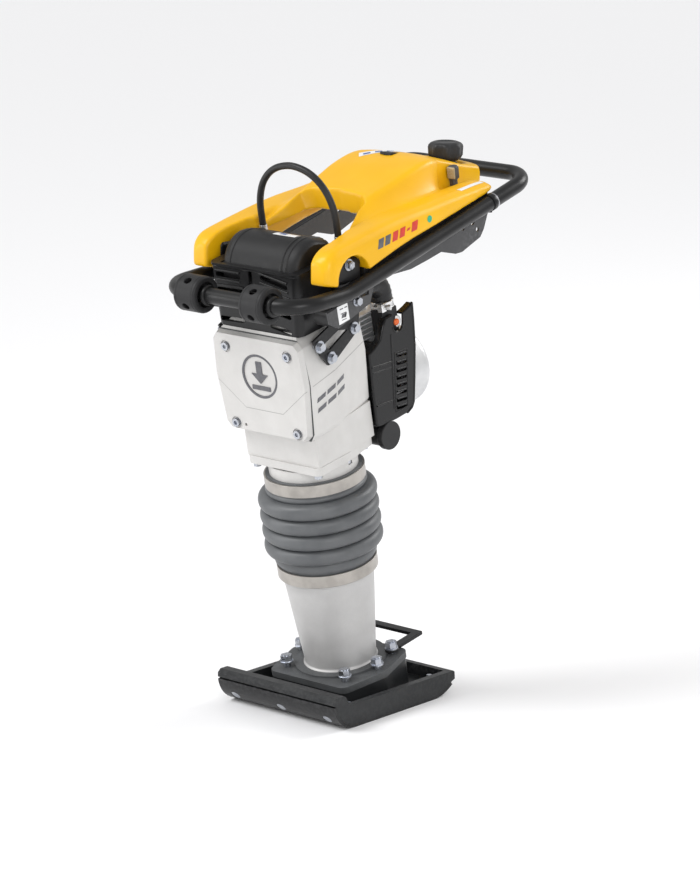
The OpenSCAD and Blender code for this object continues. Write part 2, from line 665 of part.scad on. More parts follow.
// half loop in one plane: side tubes, two corners and the cross bar at distance len, all of radius r
module half_loop(r, len, corner) {
  dir = len > 0 ? 1 : -1;
  both() translate([handle_x, -dir * 20, 0]) rotate([-90 * dir, 0, 0]) cylinder(r = r, h = abs(len) - corner + 20);
  for (side = [-1, 1]) translate([side * (handle_x - corner), len - dir * corner, 0])
    rotate([0, 0, dir > 0 ? 45 - 45 * side : 225 + 45 * side])
      rotate_extrude(angle = 90) translate([corner, 0]) circle(r = r);
  translate([handle_x - corner, len, 0]) rotate([0, -90, 0]) cylinder(r = r, h = 2 * (handle_x - corner));
}
// the two half loops meet in a mitre at the knee
module handle_solid(r) {
  intersection() {
    on_slope() half_loop(r, slope_l, 52);
    on_mitre() translate([-300, 0, -500]) cube([600, 1000, 1000]);
  }
  intersection() {
    on_front() half_loop(r, -front_l, 62);
    on_mitre() translate([-300, -1000, -500]) cube([600, 1000, 1000]);
  }
}
module guide_handle() color(black) {
  difference() {
    handle_solid(tube_r);
    handle_solid(tube_r - tube_wall);
  }
  // seam sleeve, and collars that keep the rollers in place
  on_slope() both() translate([handle_x, 398, 0]) rotate([-90, 0, 0]) ring(tube_r - 1, tube_r + 1.6, 5);
  for (x = [-38, 38]) translate([x - 2, bar_y, bar_z]) rotate([0, 90, 0]) ring(tube_r - 1, tube_r + 3, 4);
}

accessory_holes = [[196, 863.5, 5.2], [170, 856, 4.2], [210, 849, 4.2]];  // as (y, z, radius)
module handle_plates() color(black) difference() {
  both() {
    // front plate, down to the rubber buffers
    side_prism(149, 153) polygon([[-204, 783], [-190, 738], [-168, 728], [-86, 760], [-70, 808], [-150, 785]]);
    // gusset under the climbing tube
    side_prism(144, 148) polygon([
      [-116, 796], [28, 803], [74, 813], [110, 822], [150, 813], [168, 814], [218, 834], [228, 848], [242, 884],
      [248, 899], [-100, 800]
    ]);
  }
  on_slope() both() translate([handle_x, -60, 0]) rotate([-90, 0, 0]) cylinder(r = tube_r + 0.7, h = 500);
  on_front() both() translate([handle_x, 60, 0]) rotate([90, 0, 0]) cylinder(r = tube_r + 0.7, h = 200);
  // room for the seam sleeve
  on_slope() both() translate([handle_x, 397.5, 0]) rotate([-90, 0, 0]) cylinder(r = tube_r + 2, h = 6);
  for (h = accessory_holes) rod_x(-170, 170, h[2], h[0], h[1]);
  rod_x(-170, 170, 6, mount_y, mount_z);
}

module roller(x) color(black) difference() {
  rod_x(x - roller_l / 2, x + roller_l / 2, roller_r, bar_y, bar_z);
  rod_x(x - roller_l, x + roller_l, tube_r + 0.4, bar_y, bar_z);
  rod_x(x - roller_l / 2 - 1, x - roller_l / 2 + 12, 24, bar_y, bar_z);
  rod_x(x + roller_l / 2 - 12, x + roller_l / 2 + 1, 24, bar_y, bar_z);
  for (a = [0 : 90 : 270], dx = [-1, 1])
    translate([x + dx, bar_y, bar_z]) rotate([a + 35, 0, 0]) translate([0, 0, 18]) cylinder(r = 8.5, h = 30);
}
module roller_left() roller(-76);
module roller_right() roller(76);

// ---- fuel tank that also is the hood ----
// a slab of the tank: half width and level range at a distance y
module tank_slab(y, w, z0, z1, r) translate([0, y, 0]) rotate([90, 0, 0]) linear_extrude(1)
  polygon([[-w, z0], [w, z0], [w, z1 - r], [w - r, z1], [r - w, z1], [-w, z1 - r]]);
// all of the tank, or its inner face a wall thickness d further in
module tank_solid(d) {
  hull() {
    tank_slab(-4 + d, 84 - d, 868 + d, 924 - d, 14);
    tank_slab(60, 88 - d, 880 + d, 958 - d, 16);
    tank_slab(150, 88 - d, 892 + d, 979 - d, 16);
    tank_slab(302 - d, 78 - d, 914 + d, 951 - d, 10);
  }
  hull() {
    tank_slab(-90 + d, 163 - d, 826 + d, 872 - d, 22);
    tank_slab(40, 162 - d, 862 + d, 910 - d, 22);
    tank_slab(130, 158 - d, 888 + d, 938 - d, 22);
    tank_slab(254 - d, 150 - d, 920 + d, 940 - d, 8);
  }
  hull() {
    tank_slab(-196 + d, 156 - d, 808 + d, 842 - d, 18);
    tank_slab(-182, 163 - d, 803 + d, 858 - d, 20);
    tank_slab(-88, 163 - d, 826 + d, 872 - d, 20);
  }
}
// everything that is cut out of the tank, larger by d
module tank_cuts(d) {
  // opening over the crankcase, from above
  translate([0, 0, 780]) linear_extrude(160 + d) offset(delta = d) polygon(concat(
    [[-120, -240], [120, -240], [117, -170], [110, -104], [101, -80], [68, -44]],
    arc([42, 0], 20, 0, 90, 4), arc([-42, 0], 20, 90, 180, 4),
    [[-68, -44], [-101, -80], [-110, -104], [-117, -170]]
  ));
  // arches over the front mounting
  rod_x(-180, 180, 32 + d, -122, 812);
  // recess round the filler neck
  translate([cap_x, cap_y, cap_z - 8 - d]) cylinder(r = 33.5 + d, h = 80);
  // slot of the throttle lever
  translate([lever_x - 9 - d, lever_y - 43 - d, 880]) cube([18 + 2 * d, 77 + 2 * d, 100]);
  // seat of the vent plug
  translate([0, 141, 940]) cylinder(r = 8 + d, h = 60);
}
module fuel_tank() color(yellow) {
  difference() {
    union() {
      difference() {
        tank_solid(0);
        tank_cuts(0);
        difference() {
          tank_solid(4);
          tank_cuts(4);
        }
      }
      translate([cap_x, cap_y, cap_z - 12]) cylinder(r = 17, h = 12);
    }
    translate([cap_x, cap_y, 900]) cylinder(r = 12, h = 100);
  }
  rod_x(lever_x - 10, lever_x + 10, 3, lever_y, lever_z);
}
module vent_plug() color(black) translate([0, 141, 966]) rotate([-6, 0, 0]) {
  cylinder(r = 8, h = 10);
  translate([-13, -11, 9]) cube([26, 22, 5]);
}
module cap_seal() color(rubber) translate([cap_x, cap_y, cap_z + 0.3]) ring(12, 17, 2);
module fuel_cap() color(black) translate([cap_x, cap_y, cap_z]) difference() {
  union() {
    translate([0, 0, -6]) cylinder(r = 21, h = 14);
    translate([0, 0, 4]) cylinder(r = 29, h = 34);
    for (a = [0 : 45 : 315]) rotate([0, 0, a]) translate([27, 0, 7]) cylinder(r = 5, h = 26);
  }
  translate([0, 0, -7]) cylinder(r = 17.6, h = 9.3);
}
module throttle_lever() color(black) translate([lever_x, lever_y, lever_z]) rotate([8, 0, 0]) difference() {
  throttle_blade();
  rod_x(-10, 10, 3 + run, 0, 0);
}
module throttle_blade() {
  rod_x(-6, 6, 9, 0, 0);
  translate([-4, -6, 0]) cube([8, 12, 26]);
  translate([-4.5, -9, 24]) cube([9, 18, 26]);
}
module lever_pad() color([0.70, 0.63, 0.45]) translate([lever_x, lever_y, lever_z]) rotate([8, 0, 0])
  translate([-7, -12, 28]) cube([14, 3, 20]);

sole_plate();
shoe_body();
sole_bolts();
foot_flange();
flange_nuts();
lift_bar();
spring_cylinder();
lower_clamp();
bellows();
guide_bush();
spring_tube();
ram_springs();
plunger();
crankcase();
front_cover();
cover_gasket();
cover_screws();
guide_cylinder();
flange_bolts();
upper_clamp();
bearings();
muffler();
muffler_guard();
filter_housing();
filter_element();
filter_cover();
cable_ends();
lifting_cable();
side_brackets();
bracket_bolts();
rubber_buffers();
engine_housing();
engine_cylinder();
spark_plug();
engine_shroud();
starter_housing();
carburettor();
intake_elbow();
hose_clamp();
engine_buffer();
crank_gear();
conrod();
wrist_pin();
clutch_drum();
crankshaft();
flywheel();
clutch_shoes();
engine_piston();
guide_handle();
handle_plates();
fuel_tank();
vent_plug();
fuel_cap();
cap_seal();
roller_left();
roller_right();
throttle_lever();
lever_pad();
starter_grip();
pivot_bolts();
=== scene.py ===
import json
import math

import bmesh
import bpy
from mathutils import Matrix, Vector
from mathutils.bvhtree import BVHTree

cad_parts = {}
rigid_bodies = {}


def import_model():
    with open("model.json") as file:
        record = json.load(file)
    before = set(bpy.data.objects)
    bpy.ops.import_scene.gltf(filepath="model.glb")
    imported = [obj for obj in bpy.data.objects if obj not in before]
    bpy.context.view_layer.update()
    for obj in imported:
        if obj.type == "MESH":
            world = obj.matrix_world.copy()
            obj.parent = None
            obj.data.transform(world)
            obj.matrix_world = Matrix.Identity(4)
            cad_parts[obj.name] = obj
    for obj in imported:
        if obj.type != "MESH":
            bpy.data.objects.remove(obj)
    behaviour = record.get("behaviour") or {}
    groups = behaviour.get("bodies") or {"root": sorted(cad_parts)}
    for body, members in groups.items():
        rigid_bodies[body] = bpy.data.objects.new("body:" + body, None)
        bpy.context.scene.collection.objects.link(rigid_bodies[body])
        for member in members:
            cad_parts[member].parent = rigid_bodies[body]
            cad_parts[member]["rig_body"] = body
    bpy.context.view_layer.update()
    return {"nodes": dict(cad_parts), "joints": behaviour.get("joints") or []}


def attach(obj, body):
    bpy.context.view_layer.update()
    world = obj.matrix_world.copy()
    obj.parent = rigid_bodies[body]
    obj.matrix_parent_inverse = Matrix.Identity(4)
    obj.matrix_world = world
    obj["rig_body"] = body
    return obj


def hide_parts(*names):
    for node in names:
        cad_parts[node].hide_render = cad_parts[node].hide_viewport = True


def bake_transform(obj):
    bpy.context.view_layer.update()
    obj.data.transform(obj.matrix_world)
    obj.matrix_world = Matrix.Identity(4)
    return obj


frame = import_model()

scene = bpy.context.scene
mm = 0.001                       # pieces are drawn in millimetres

# the ram axis leans forward; its lean and foot come from the frame's joints
joints = {joint["name"]: joint for joint in frame["joints"]}
ramAxis = joints["ram_stroke"]["axis"]
lean = math.atan2(-ramAxis[1], ramAxis[2])
gearCentre = joints["crank_turn"]["pos_m"]
axisY = gearCentre[1] + gearCentre[2] * math.tan(lean)
level = Matrix.Identity(4)
leaning = Matrix.Translation((0, axisY, 0)) @ Matrix.Rotation(lean, 4, "X")


def leaned(x, y, s):
    # a point of the leaning axis, in millimetres, as a point of the frame in metres
    return leaning @ (Vector((x, y, s)) * mm)


# camera
cameraSet = {
    "azimuth": 41.27, "elevation": 13.24, "distance": 6.82328,
    "target": (0.01811, 0.01508, 0.48939), "lens": 158.85, "sensor": 36,
}


def makeCamera():
    azimuth, elevation = math.radians(cameraSet["azimuth"]), math.radians(cameraSet["elevation"])
    back = Vector((math.sin(azimuth) * math.cos(elevation), -math.cos(azimuth) * math.cos(elevation),
                   math.sin(elevation)))
    data = bpy.data.cameras.new("camera")
    data.lens = cameraSet["lens"]
    data.sensor_width = cameraSet["sensor"]
    data.clip_end = 50
    camera = bpy.data.objects.new("camera", data)
    camera.location = Vector(cameraSet["target"]) + back * cameraSet["distance"]
    camera.rotation_euler = (math.pi / 2 - elevation, 0, azimuth)
    scene.collection.objects.link(camera)
    scene.camera = camera


makeCamera()
print("camera in place")


# shader groups
def newGroup(name, inputs, outputs):
    group = bpy.data.node_groups.new(name, "ShaderNodeTree")
    for label, kind, value in inputs:
        socket = group.interface.new_socket(name=label, in_out="INPUT", socket_type="NodeSocket" + kind)
        socket.default_value = value
    for label, kind in outputs:
        group.interface.new_socket(name=label, in_out="OUTPUT", socket_type="NodeSocket" + kind)
    entry = group.nodes.new("NodeGroupInput")
    leave = group.nodes.new("NodeGroupOutput")
    return group, entry, leave


def addNode(tree, kind, links=(), **values):
    # a node with its values set, and links given as (input name, output socket)
    node = tree.nodes.new("ShaderNode" + kind)
    for key, value in values.items():
        setattr(node, key, value)
    for label, source in links:
        if hasattr(source, "node"):
            tree.links.new(source, node.inputs[label])
        else:
            node.inputs[label].default_value = source
    return node


def mixColor(tree, factor, a, b, blend="MIX"):
    node = tree.nodes.new("ShaderNodeMix")
    node.data_type = "RGBA"
    node.blend_type = blend
    for index, source in ((0, factor), (6, a), (7, b)):
        if hasattr(source, "node"):
            tree.links.new(source, node.inputs[index])
        else:
            node.inputs[index].default_value = source
    return node.outputs[2]


def mapRange(tree, value, low, high, toLow, toHigh):
    node = addNode(tree, "MapRange", [("Value", value), ("From Min", low), ("From Max", high),
                                      ("To Min", toLow), ("To Max", toHigh)])
    return node.outputs["Result"]


def skinGroup(name, build):
    # every skin has the same sockets, so that one function can place it in a material
    group, entry, leave = newGroup(name, [
        ("Tint", "Color", (0.5, 0.5, 0.5, 1)), ("Shade", "Color", (0.4, 0.4, 0.4, 1)),
        ("Grain Size", "Float", 1.0), ("Mottle Size", "Float", 20.0),
        ("Low Roughness", "Float", 0.4), ("High Roughness", "Float", 0.6),
    ], [("Color", "Color"), ("Roughness", "Float"), ("Height", "Float")])
    place = addNode(group, "TexCoord").outputs["Object"]
    color, roughness, height = build(group, entry.outputs, place)
    group.links.new(color, leave.inputs["Color"])
    group.links.new(roughness, leave.inputs["Roughness"])
    group.links.new(height, leave.inputs["Height"])
    return group


def roughness(tree, entry, noise):
    return mapRange(tree, noise.outputs["Fac"], 0.3, 0.7, entry["Low Roughness"], entry["High Roughness"])


def mouldedSkin(tree, entry, place):
    # fine orange peel with slow colour drift
    grain = addNode(tree, "TexNoise", [("Vector", place), ("Scale", entry["Grain Size"]), ("Detail", 3.0)])
    mottle = addNode(tree, "TexNoise", [("Vector", place), ("Scale", entry["Mottle Size"]), ("Detail", 4.0)])
    drift = mapRange(tree, mottle.outputs["Fac"], 0.35, 0.65, 0.0, 1.0)
    color = mixColor(tree, drift, entry["Tint"], entry["Shade"])
    return color, roughness(tree, entry, mottle), grain.outputs["Fac"]


def castSkin(tree, entry, place):
    # shot-blasted casting: pits and peaks of two sizes
    pits = addNode(tree, "TexVoronoi", [("Vector", place), ("Scale", entry["Grain Size"])])
    sand = addNode(tree, "TexNoise", [("Vector", place), ("Scale", entry["Grain Size"]), ("Detail", 5.0),
                                      ("Roughness", 0.7)])
    blotch = addNode(tree, "TexNoise", [("Vector", place), ("Scale", entry["Mottle Size"]), ("Detail", 6.0),
                                        ("Roughness", 0.6)])
    height = addNode(tree, "Math", [(0, pits.outputs["Distance"]), (1, sand.outputs["Fac"])], operation="ADD")
    drift = mapRange(tree, blotch.outputs["Fac"], 0.35, 0.68, 0.0, 1.0)
    speck = mapRange(tree, sand.outputs["Fac"], 0.45, 0.75, 0.0, 0.5)
    color = mixColor(tree, drift, entry["Tint"], entry["Shade"])
    color = mixColor(tree, speck, color, entry["Shade"])
    return color, roughness(tree, entry, sand), height.outputs[0]


def drawnSkin(tree, entry, place):
    # fine lines of turned and drawn metal, with a slow tarnish
    turn = addNode(tree, "Mapping", [("Vector", place), ("Scale", (1.0, 1.0, 14.0))])
    lines = addNode(tree, "TexNoise", [("Vector", turn.outputs[0]), ("Scale", entry["Grain Size"]), ("Detail", 2.0)])
    tarnish = addNode(tree, "TexNoise", [("Vector", place), ("Scale", entry["Mottle Size"]), ("Detail", 5.0)])
    drift = mapRange(tree, tarnish.outputs["Fac"], 0.38, 0.66, 0.0, 1.0)
    color = mixColor(tree, drift, entry["Tint"], entry["Shade"])
    return color, roughness(tree, entry, lines), lines.outputs["Fac"]


def edgeRubGroup():
    # convex edges where the paint has thinned, broken up by noise
    group, entry, leave = newGroup("edgeRub", [
        ("Paint", "Color", (0.1, 0.1, 0.1, 1)), ("Bare", "Color", (0.4, 0.4, 0.4, 1)), ("Amount", "Float", 0.3),
    ], [("Color", "Color")])
    place = addNode(group, "TexCoord").outputs["Object"]
    crest = mapRange(group, addNode(group, "NewGeometry").outputs["Pointiness"], 0.53, 0.60, 0.0, 1.0)
    broken = addNode(group, "TexNoise", [("Vector", place), ("Scale", 160.0), ("Detail", 4.0)])
    patch = mapRange(group, broken.outputs["Fac"], 0.45, 0.6, 0.0, 1.0)
    worn = addNode(group, "Math", [(0, crest), (1, patch)], operation="MULTIPLY")
    mask = addNode(group, "Math", [(0, worn.outputs[0]), (1, entry.outputs["Amount"])], operation="MULTIPLY")
    color = mixColor(group, mask.outputs[0], entry.outputs["Paint"], entry.outputs["Bare"])
    group.links.new(color, leave.inputs["Color"])
    return group


skins = {
    "moulded": skinGroup("mouldedSkin", mouldedSkin),
    "cast": skinGroup("castSkin", castSkin),
    "drawn": skinGroup("drawnSkin", drawnSkin),
}
edgeRub = edgeRubGroup()

# each finish: skin; the two colours that drift into each other; grain and mottle per metre; lowest and highest
# roughness; bump in millimetres; metallic; gloss; how much the edges are rubbed
finishes = {
    "blackPaint": ("moulded", (0.0084, 0.0084, 0.0091), (0.0126, 0.0126, 0.0133),
                   900, 14, 0.3, 0.42, 0.04, 0, 0.3, 0.25),
    "platePaint": ("moulded", (0.04, 0.04, 0.042), (0.055, 0.055, 0.057), 900, 14, 0.38, 0.5, 0.04, 0, 0.5, 0.25),
    "shoeBlack": ("moulded", (0.01, 0.011, 0.012), (0.018, 0.019, 0.02), 700, 16, 0.3, 0.48, 0.1, 0, 0.3, 0.2),
    "zinc": ("drawn", (0.496, 0.512, 0.544), (0.4, 0.424, 0.48), 500, 60, 0.22, 0.38, 0.03, 1, 0.5, 0),
    "castAlu": ("cast", (0.6, 0.59, 0.575), (0.55, 0.54, 0.525), 800, 22, 0.42, 0.58, 0.14, 0.2, 0.5, 0),
    "greyPaint": ("cast", (0.52, 0.515, 0.51), (0.46, 0.455, 0.45), 650, 18, 0.4, 0.55, 0.1, 0.3, 0.5, 0),
    "footIron": ("cast", (0.1, 0.105, 0.11), (0.075, 0.078, 0.08), 420, 30, 0.42, 0.62, 0.3, 0.3, 0.5, 0),
    "bellowsRubber": ("moulded", (0.085, 0.09, 0.095), (0.11, 0.115, 0.12), 1200, 25, 0.4, 0.52, 0.04, 0, 0.5, 0),
    "band": ("drawn", (0.43, 0.405, 0.375), (0.35, 0.33, 0.305), 300, 40, 0.3, 0.42, 0.03, 0.8, 0.5, 0),
    "tankYellow": ("moulded", (0.84, 0.455, 0.002), (0.77, 0.41, 0.002), 1000, 7, 0.34, 0.44, 0.05, 0, 0.35, 0),
    "grainedBlack": ("moulded", (0.0098, 0.0098, 0.0105), (0.014, 0.014, 0.0147),
                     1400, 30, 0.42, 0.55, 0.12, 0, 0.3, 0),
    "padBeige": ("moulded", (0.46, 0.38, 0.23), (0.36, 0.3, 0.18), 900, 80, 0.55, 0.7, 0.1, 0, 0.5, 0),
    "hoseRubber": ("moulded", (0.0132, 0.0132, 0.0138), (0.0204, 0.0204, 0.021),
                   1300, 40, 0.38, 0.5, 0.05, 0, 0.3, 0),
    "shroudBlack": ("moulded", (0.005, 0.005, 0.0055), (0.0075, 0.0075, 0.008), 800, 20, 0.2, 0.3, 0.03, 0, 0.3, 0),
    "engineBlack": ("cast", (0.015, 0.015, 0.0162), (0.0096, 0.0096, 0.0102), 700, 25, 0.35, 0.5, 0.12, 0, 0.3, 0),
    "domeAlu": ("cast", (0.66, 0.665, 0.67), (0.56, 0.565, 0.57), 900, 25, 0.36, 0.48, 0.08, 0.6, 0.5, 0),
    "rawSteel": ("drawn", (0.5, 0.5, 0.52), (0.38, 0.38, 0.4), 400, 50, 0.25, 0.4, 0.03, 1, 0.5, 0),
    "ferruleSteel": ("drawn", (0.7, 0.7, 0.7), (0.58, 0.58, 0.58), 300, 90, 0.28, 0.4, 0.04, 0.9, 0.5, 0),
    "springBlue": ("moulded", (0.07, 0.1, 0.15), (0.05, 0.07, 0.11), 800, 60, 0.35, 0.45, 0.04, 0, 0.5, 0.3),
    "paperTan": ("moulded", (0.62, 0.53, 0.32), (0.52, 0.44, 0.25), 1200, 50, 0.7, 0.85, 0.08, 0, 0.5, 0),
    "gasketDark": ("moulded", (0.07, 0.075, 0.075), (0.05, 0.055, 0.055), 1200, 90, 0.6, 0.75, 0.05, 0, 0.5, 0),
    "bushPlastic": ("moulded", (0.18, 0.17, 0.13), (0.13, 0.12, 0.1), 900, 60, 0.4, 0.55, 0.04, 0, 0.5, 0),
    "labelWhite": ("moulded", (0.82, 0.82, 0.82), (0.74, 0.745, 0.75), 1500, 60, 0.25, 0.35, 0.02, 0, 0.5, 0),
    "inkGrey": ("moulded", (0.11, 0.11, 0.12), (0.08, 0.08, 0.09), 1500, 120, 0.3, 0.4, 0.02, 0, 0.5, 0),
    "inkRed": ("moulded", (0.62, 0.035, 0.02), (0.52, 0.03, 0.018), 1500, 120, 0.3, 0.4, 0.02, 0, 0.5, 0),
    "inkBlue": ("moulded", (0.03, 0.1, 0.34), (0.02, 0.08, 0.28), 1500, 120, 0.3, 0.4, 0.02, 0, 0.5, 0),
    "plugOrange": ("moulded", (0.8, 0.16, 0.03), (0.7, 0.12, 0.02), 900, 90, 0.35, 0.5, 0.04, 0, 0.5, 0),
    # painted shade: a darker grey laid in strips along the folds of the cover and the crankcase
    "paintedFoldShade": ("cast", (0.34, 0.335, 0.33), (0.28, 0.275, 0.27), 800, 30, 0.5, 0.6, 0.05, 0, 0.5, 0),
    "handleBlack": ("moulded", (0.007, 0.007, 0.0075), (0.011, 0.011, 0.0115), 1100, 9, 0.3, 0.42, 0.03, 0, 0.3, 0),
    "rollerBlack": ("moulded", (0.012, 0.012, 0.013), (0.018, 0.018, 0.019), 1300, 26, 0.44, 0.58, 0.08, 0, 0.3, 0),
    "guardBlack": ("moulded", (0.0072, 0.0072, 0.0078), (0.012, 0.012, 0.0126), 1000, 18, 0.28, 0.4, 0.05, 0, 0.3, 0),
    "capBlack": ("moulded", (0.018, 0.018, 0.019), (0.03, 0.03, 0.032), 1300, 40, 0.36, 0.52, 0.06, 0, 0.3, 0),
    "leverGrey": ("moulded", (0.045, 0.045, 0.048), (0.065, 0.065, 0.068), 1300, 60, 0.42, 0.55, 0.06, 0, 0.5, 0),
    "hoseGloss": ("moulded", (0.012, 0.012, 0.0128), (0.018, 0.018, 0.0188), 1200, 34, 0.3, 0.42, 0.04, 0, 0.3, 0),
    "bandBright": ("drawn", (0.8, 0.8, 0.8), (0.66, 0.66, 0.66), 300, 60, 0.2, 0.32, 0.03, 0.9, 0.5, 0),
    "inkGreen": ("moulded", (0.03, 0.42, 0.22), (0.02, 0.34, 0.18), 1500, 120, 0.3, 0.4, 0.02, 0, 0.5, 0),
}
rubbedColor = (0.16, 0.16, 0.165, 1)


def makeMaterial(name, finish):
    material = bpy.data.materials.new(name)
    material.use_nodes = True
    tree = material.node_tree
    shader = tree.nodes["Principled BSDF"]
    skinName, tint, shade, grain, mottle, low, high, depth, metallic, gloss, rubbed = finish
    skin = addNode(tree, "Group", node_tree=skins[skinName])
    for label, value in (("Tint", (*tint, 1)), ("Shade", (*shade, 1)), ("Grain Size", grain),
                         ("Mottle Size", mottle), ("Low Roughness", low), ("High Roughness", high)):
        skin.inputs[label].default_value = value
    color = skin.outputs["Color"]
    if rubbed:
        rub = addNode(tree, "Group", node_tree=edgeRub)
        rub.inputs["Amount"].default_value = rubbed
        rub.inputs["Bare"].default_value = rubbedColor
        tree.links.new(color, rub.inputs["Paint"])
        color = rub.outputs["Color"]
    bump = addNode(tree, "Bump", [("Height", skin.outputs["Height"]), ("Strength", 1.0), ("Distance", depth * mm)])
    tree.links.new(color, shader.inputs["Base Color"])
    tree.links.new(skin.outputs["Roughness"], shader.inputs["Roughness"])
    tree.links.new(bump.outputs["Normal"], shader.inputs["Normal"])
    shader.inputs["Metallic"].default_value = metallic
    shader.inputs["Specular IOR Level"].default_value = gloss
    return material


materials = {name: makeMaterial(name, finish) for name, finish in finishes.items()}
print("materials:", len(materials))


# shared ways of making a shape
def along(points, t):
    # smooth curve through (place, value) points
    if t <= points[0][0]:
        return points[0][1]
    if t >= points[-1][0]:
        return points[-1][1]
    k = max(i for i in range(len(points) - 1) if points[i][0] <= t)

    def slopeAt(i):
        low, high = points[max(i - 1, 0)], points[min(i + 1, len(points) - 1)]
        return (high[1] - low[1]) / (high[0] - low[0])

    (t0, v0), (t1, v1) = points[k], points[k + 1]
    span = t1 - t0
    u = (t - t0) / span
    return ((2 * u ** 3 - 3 * u ** 2 + 1) * v0 + (u ** 3 - 2 * u ** 2 + u) * span * slopeAt(k)
            + (3 * u ** 2 - 2 * u ** 3) * v1 + (u ** 3 - u ** 2) * span * slopeAt(k + 1))


def addLoop(bm, points):
    # a closed wire through the points
    verts = [bm.verts.new(point) for point in points]
    return [bm.edges.new((verts[i - 1], verts[i])) for i in range(len(verts))]


def addLoft(bm, sections):
    # a closed body through sections with the same count of points
    loops = [addLoop(bm, section) for section in sections]
    for first, second in zip(loops, loops[1:]):
        bmesh.ops.bridge_loops(bm, edges=first + second)
    bmesh.ops.holes_fill(bm, edges=loops[0] + loops[-1], sides=0)


def addPrism(bm, outline, low, high, plane):
    # an outline drawn out along X ("side"), Y ("front") or Z ("top")
    lift = {"side": lambda a, b, c: (c, a, b), "front": lambda a, b, c: (a, c, b),
            "top": lambda a, b, c: (a, b, c)}[plane]
    face = bm.faces.new([bm.verts.new(lift(a, b, low)) for a, b in outline])
    grown = bmesh.ops.extrude_face_region(bm, geom=[face])["geom"]
    moved = [item for item in grown if isinstance(item, bmesh.types.BMVert)]
    bmesh.ops.translate(bm, vec=Vector(lift(0, 0, high - low)), verts=moved)
    return moved


def addRod(bm, start, end, r, segments=32, r2=None):
    # a capped cylinder or cone from one point to another
    start, end = Vector(start), Vector(end)
    turn = (end - start).to_track_quat("Z", "Y").to_matrix().to_4x4()
    place = Matrix.Translation((start + end) / 2) @ turn
    return bmesh.ops.create_cone(bm, cap_ends=True, segments=segments, radius1=r, radius2=r if r2 is None else r2,
                                 depth=(end - start).length, matrix=place)["verts"]


def addBead(bm, points, r, segments):
    # rods from point to point
    for start, end in zip(points, points[1:]):
        addRod(bm, start, end, r, segments)


def meshObject(name, bm):
    # a scratch object with the mesh of bm
    mesh = bpy.data.meshes.new(name)
    bm.to_mesh(mesh)
    bm.free()
    scratch = bpy.data.objects.new(name, mesh)
    scene.collection.objects.link(scratch)
    return scratch


def solid(name, bm):
    # a scratch object with its faces turned outwards
    bmesh.ops.recalc_face_normals(bm, faces=bm.faces)
    return meshObject(name, bm)


def reopened(scratch):
    # the mesh of a scratch object, back in a bmesh
    bm = bmesh.new()
    bm.from_mesh(scratch.data)
    bpy.data.objects.remove(scratch)
    return bm


def drawn(*shapes, bevel=None):
    # a bmesh with the shapes in it, each given as a function and its values
    bm = bmesh.new()
    for shape, *values in shapes:
        shape(bm, *values)
    if bevel:
        bevelEdges(bm, *bevel)
    return bm


def roundOff(bm, edges, width, segments):
    bmesh.ops.bevel(bm, geom=edges, offset=width, offset_type="OFFSET", affect="EDGES", segments=segments,
                    profile=0.5, clamp_overlap=True, material=-1)


def applied(scratch):
    # the mesh with its modifiers applied, and the scratch object gone
    bpy.context.view_layer.update()
    graph = bpy.context.evaluated_depsgraph_get()
    mesh = bpy.data.meshes.new_from_object(scratch.evaluated_get(graph))
    old = scratch.data
    bpy.data.objects.remove(scratch)
    bpy.data.batch_remove([old])
    return mesh


def addTurned(bm, profile, place=level, steps=72, closed=True):
    # an (r, h) profile turned a full turn about the place's own Z
    before = set(bm.verts)
    verts = [bm.verts.new((r, 0, h)) for r, h in profile]
    edges = [bm.edges.new(pair) for pair in zip(verts, verts[1:])]
    if closed:
        edges.append(bm.edges.new((verts[-1], verts[0])))
    bmesh.ops.spin(bm, geom=verts + edges, cent=(0, 0, 0), axis=(0, 0, 1), angle=2 * math.pi, steps=steps,
                   use_merge=True)
    fresh = [vert for vert in bm.verts if vert not in before]
    bmesh.ops.remove_doubles(bm, verts=fresh, dist=0.001)
    fresh = [vert for vert in bm.verts if vert not in before]
    bmesh.ops.transform(bm, matrix=place, verts=fresh)
    return fresh


def facing(point, direction):
    # a place whose Z points along a direction
    return Matrix.Translation(point) @ Vector(direction).to_track_quat("Z", "Y").to_matrix().to_4x4()


def addBox(bm, low, high, bevel=0, segments=3):
    # a box from its lowest to its highest corner
    sizes = [b - a for a, b in zip(low, high)]
    middle = [(a + b) / 2 for a, b in zip(low, high)]
    place = Matrix.Translation(middle) @ Matrix.Diagonal((*sizes, 1))
    made = bmesh.ops.create_cube(bm, size=1, matrix=place)["verts"]
    if bevel:
        roundOff(bm, list({edge for vert in made for edge in vert.link_edges}), bevel, segments)


def capsule(a, b, r, count=6):
    # outline of a slot with round ends, from a to b
    turn = math.degrees(math.atan2(b[1] - a[1], b[0] - a[0]))
    return [*arcPoints(b, r, turn - 90, turn + 90, count), *arcPoints(a, r, turn + 90, turn + 270, count)]


def arcPoints(centre, r, start, end, count):
    # points of an arc between two angles in degrees
    turns = [math.radians(start + (end - start) * k / count) for k in range(count + 1)]
    return [(centre[0] + r * math.cos(turn), centre[1] + r * math.sin(turn)) for turn in turns]


def tube(name, points, r, closed=False):
    # a round tube through points in millimetres, as a scratch object in metres
    curve = bpy.data.curves.new(name, "CURVE")
    curve.dimensions = "3D"
    spline = curve.splines.new("POLY")
    spline.points.add(len(points) - 1)
    for spot, point in zip(spline.points, points):
        spot.co = (*[value * mm for value in point], 1)
    spline.use_cyclic_u = closed
    curve.bevel_depth = r * mm
    curve.bevel_resolution = 8
    curve.use_fill_caps = True
    scratch = bpy.data.objects.new(name, curve)
    scene.collection.objects.link(scratch)
    return scratch


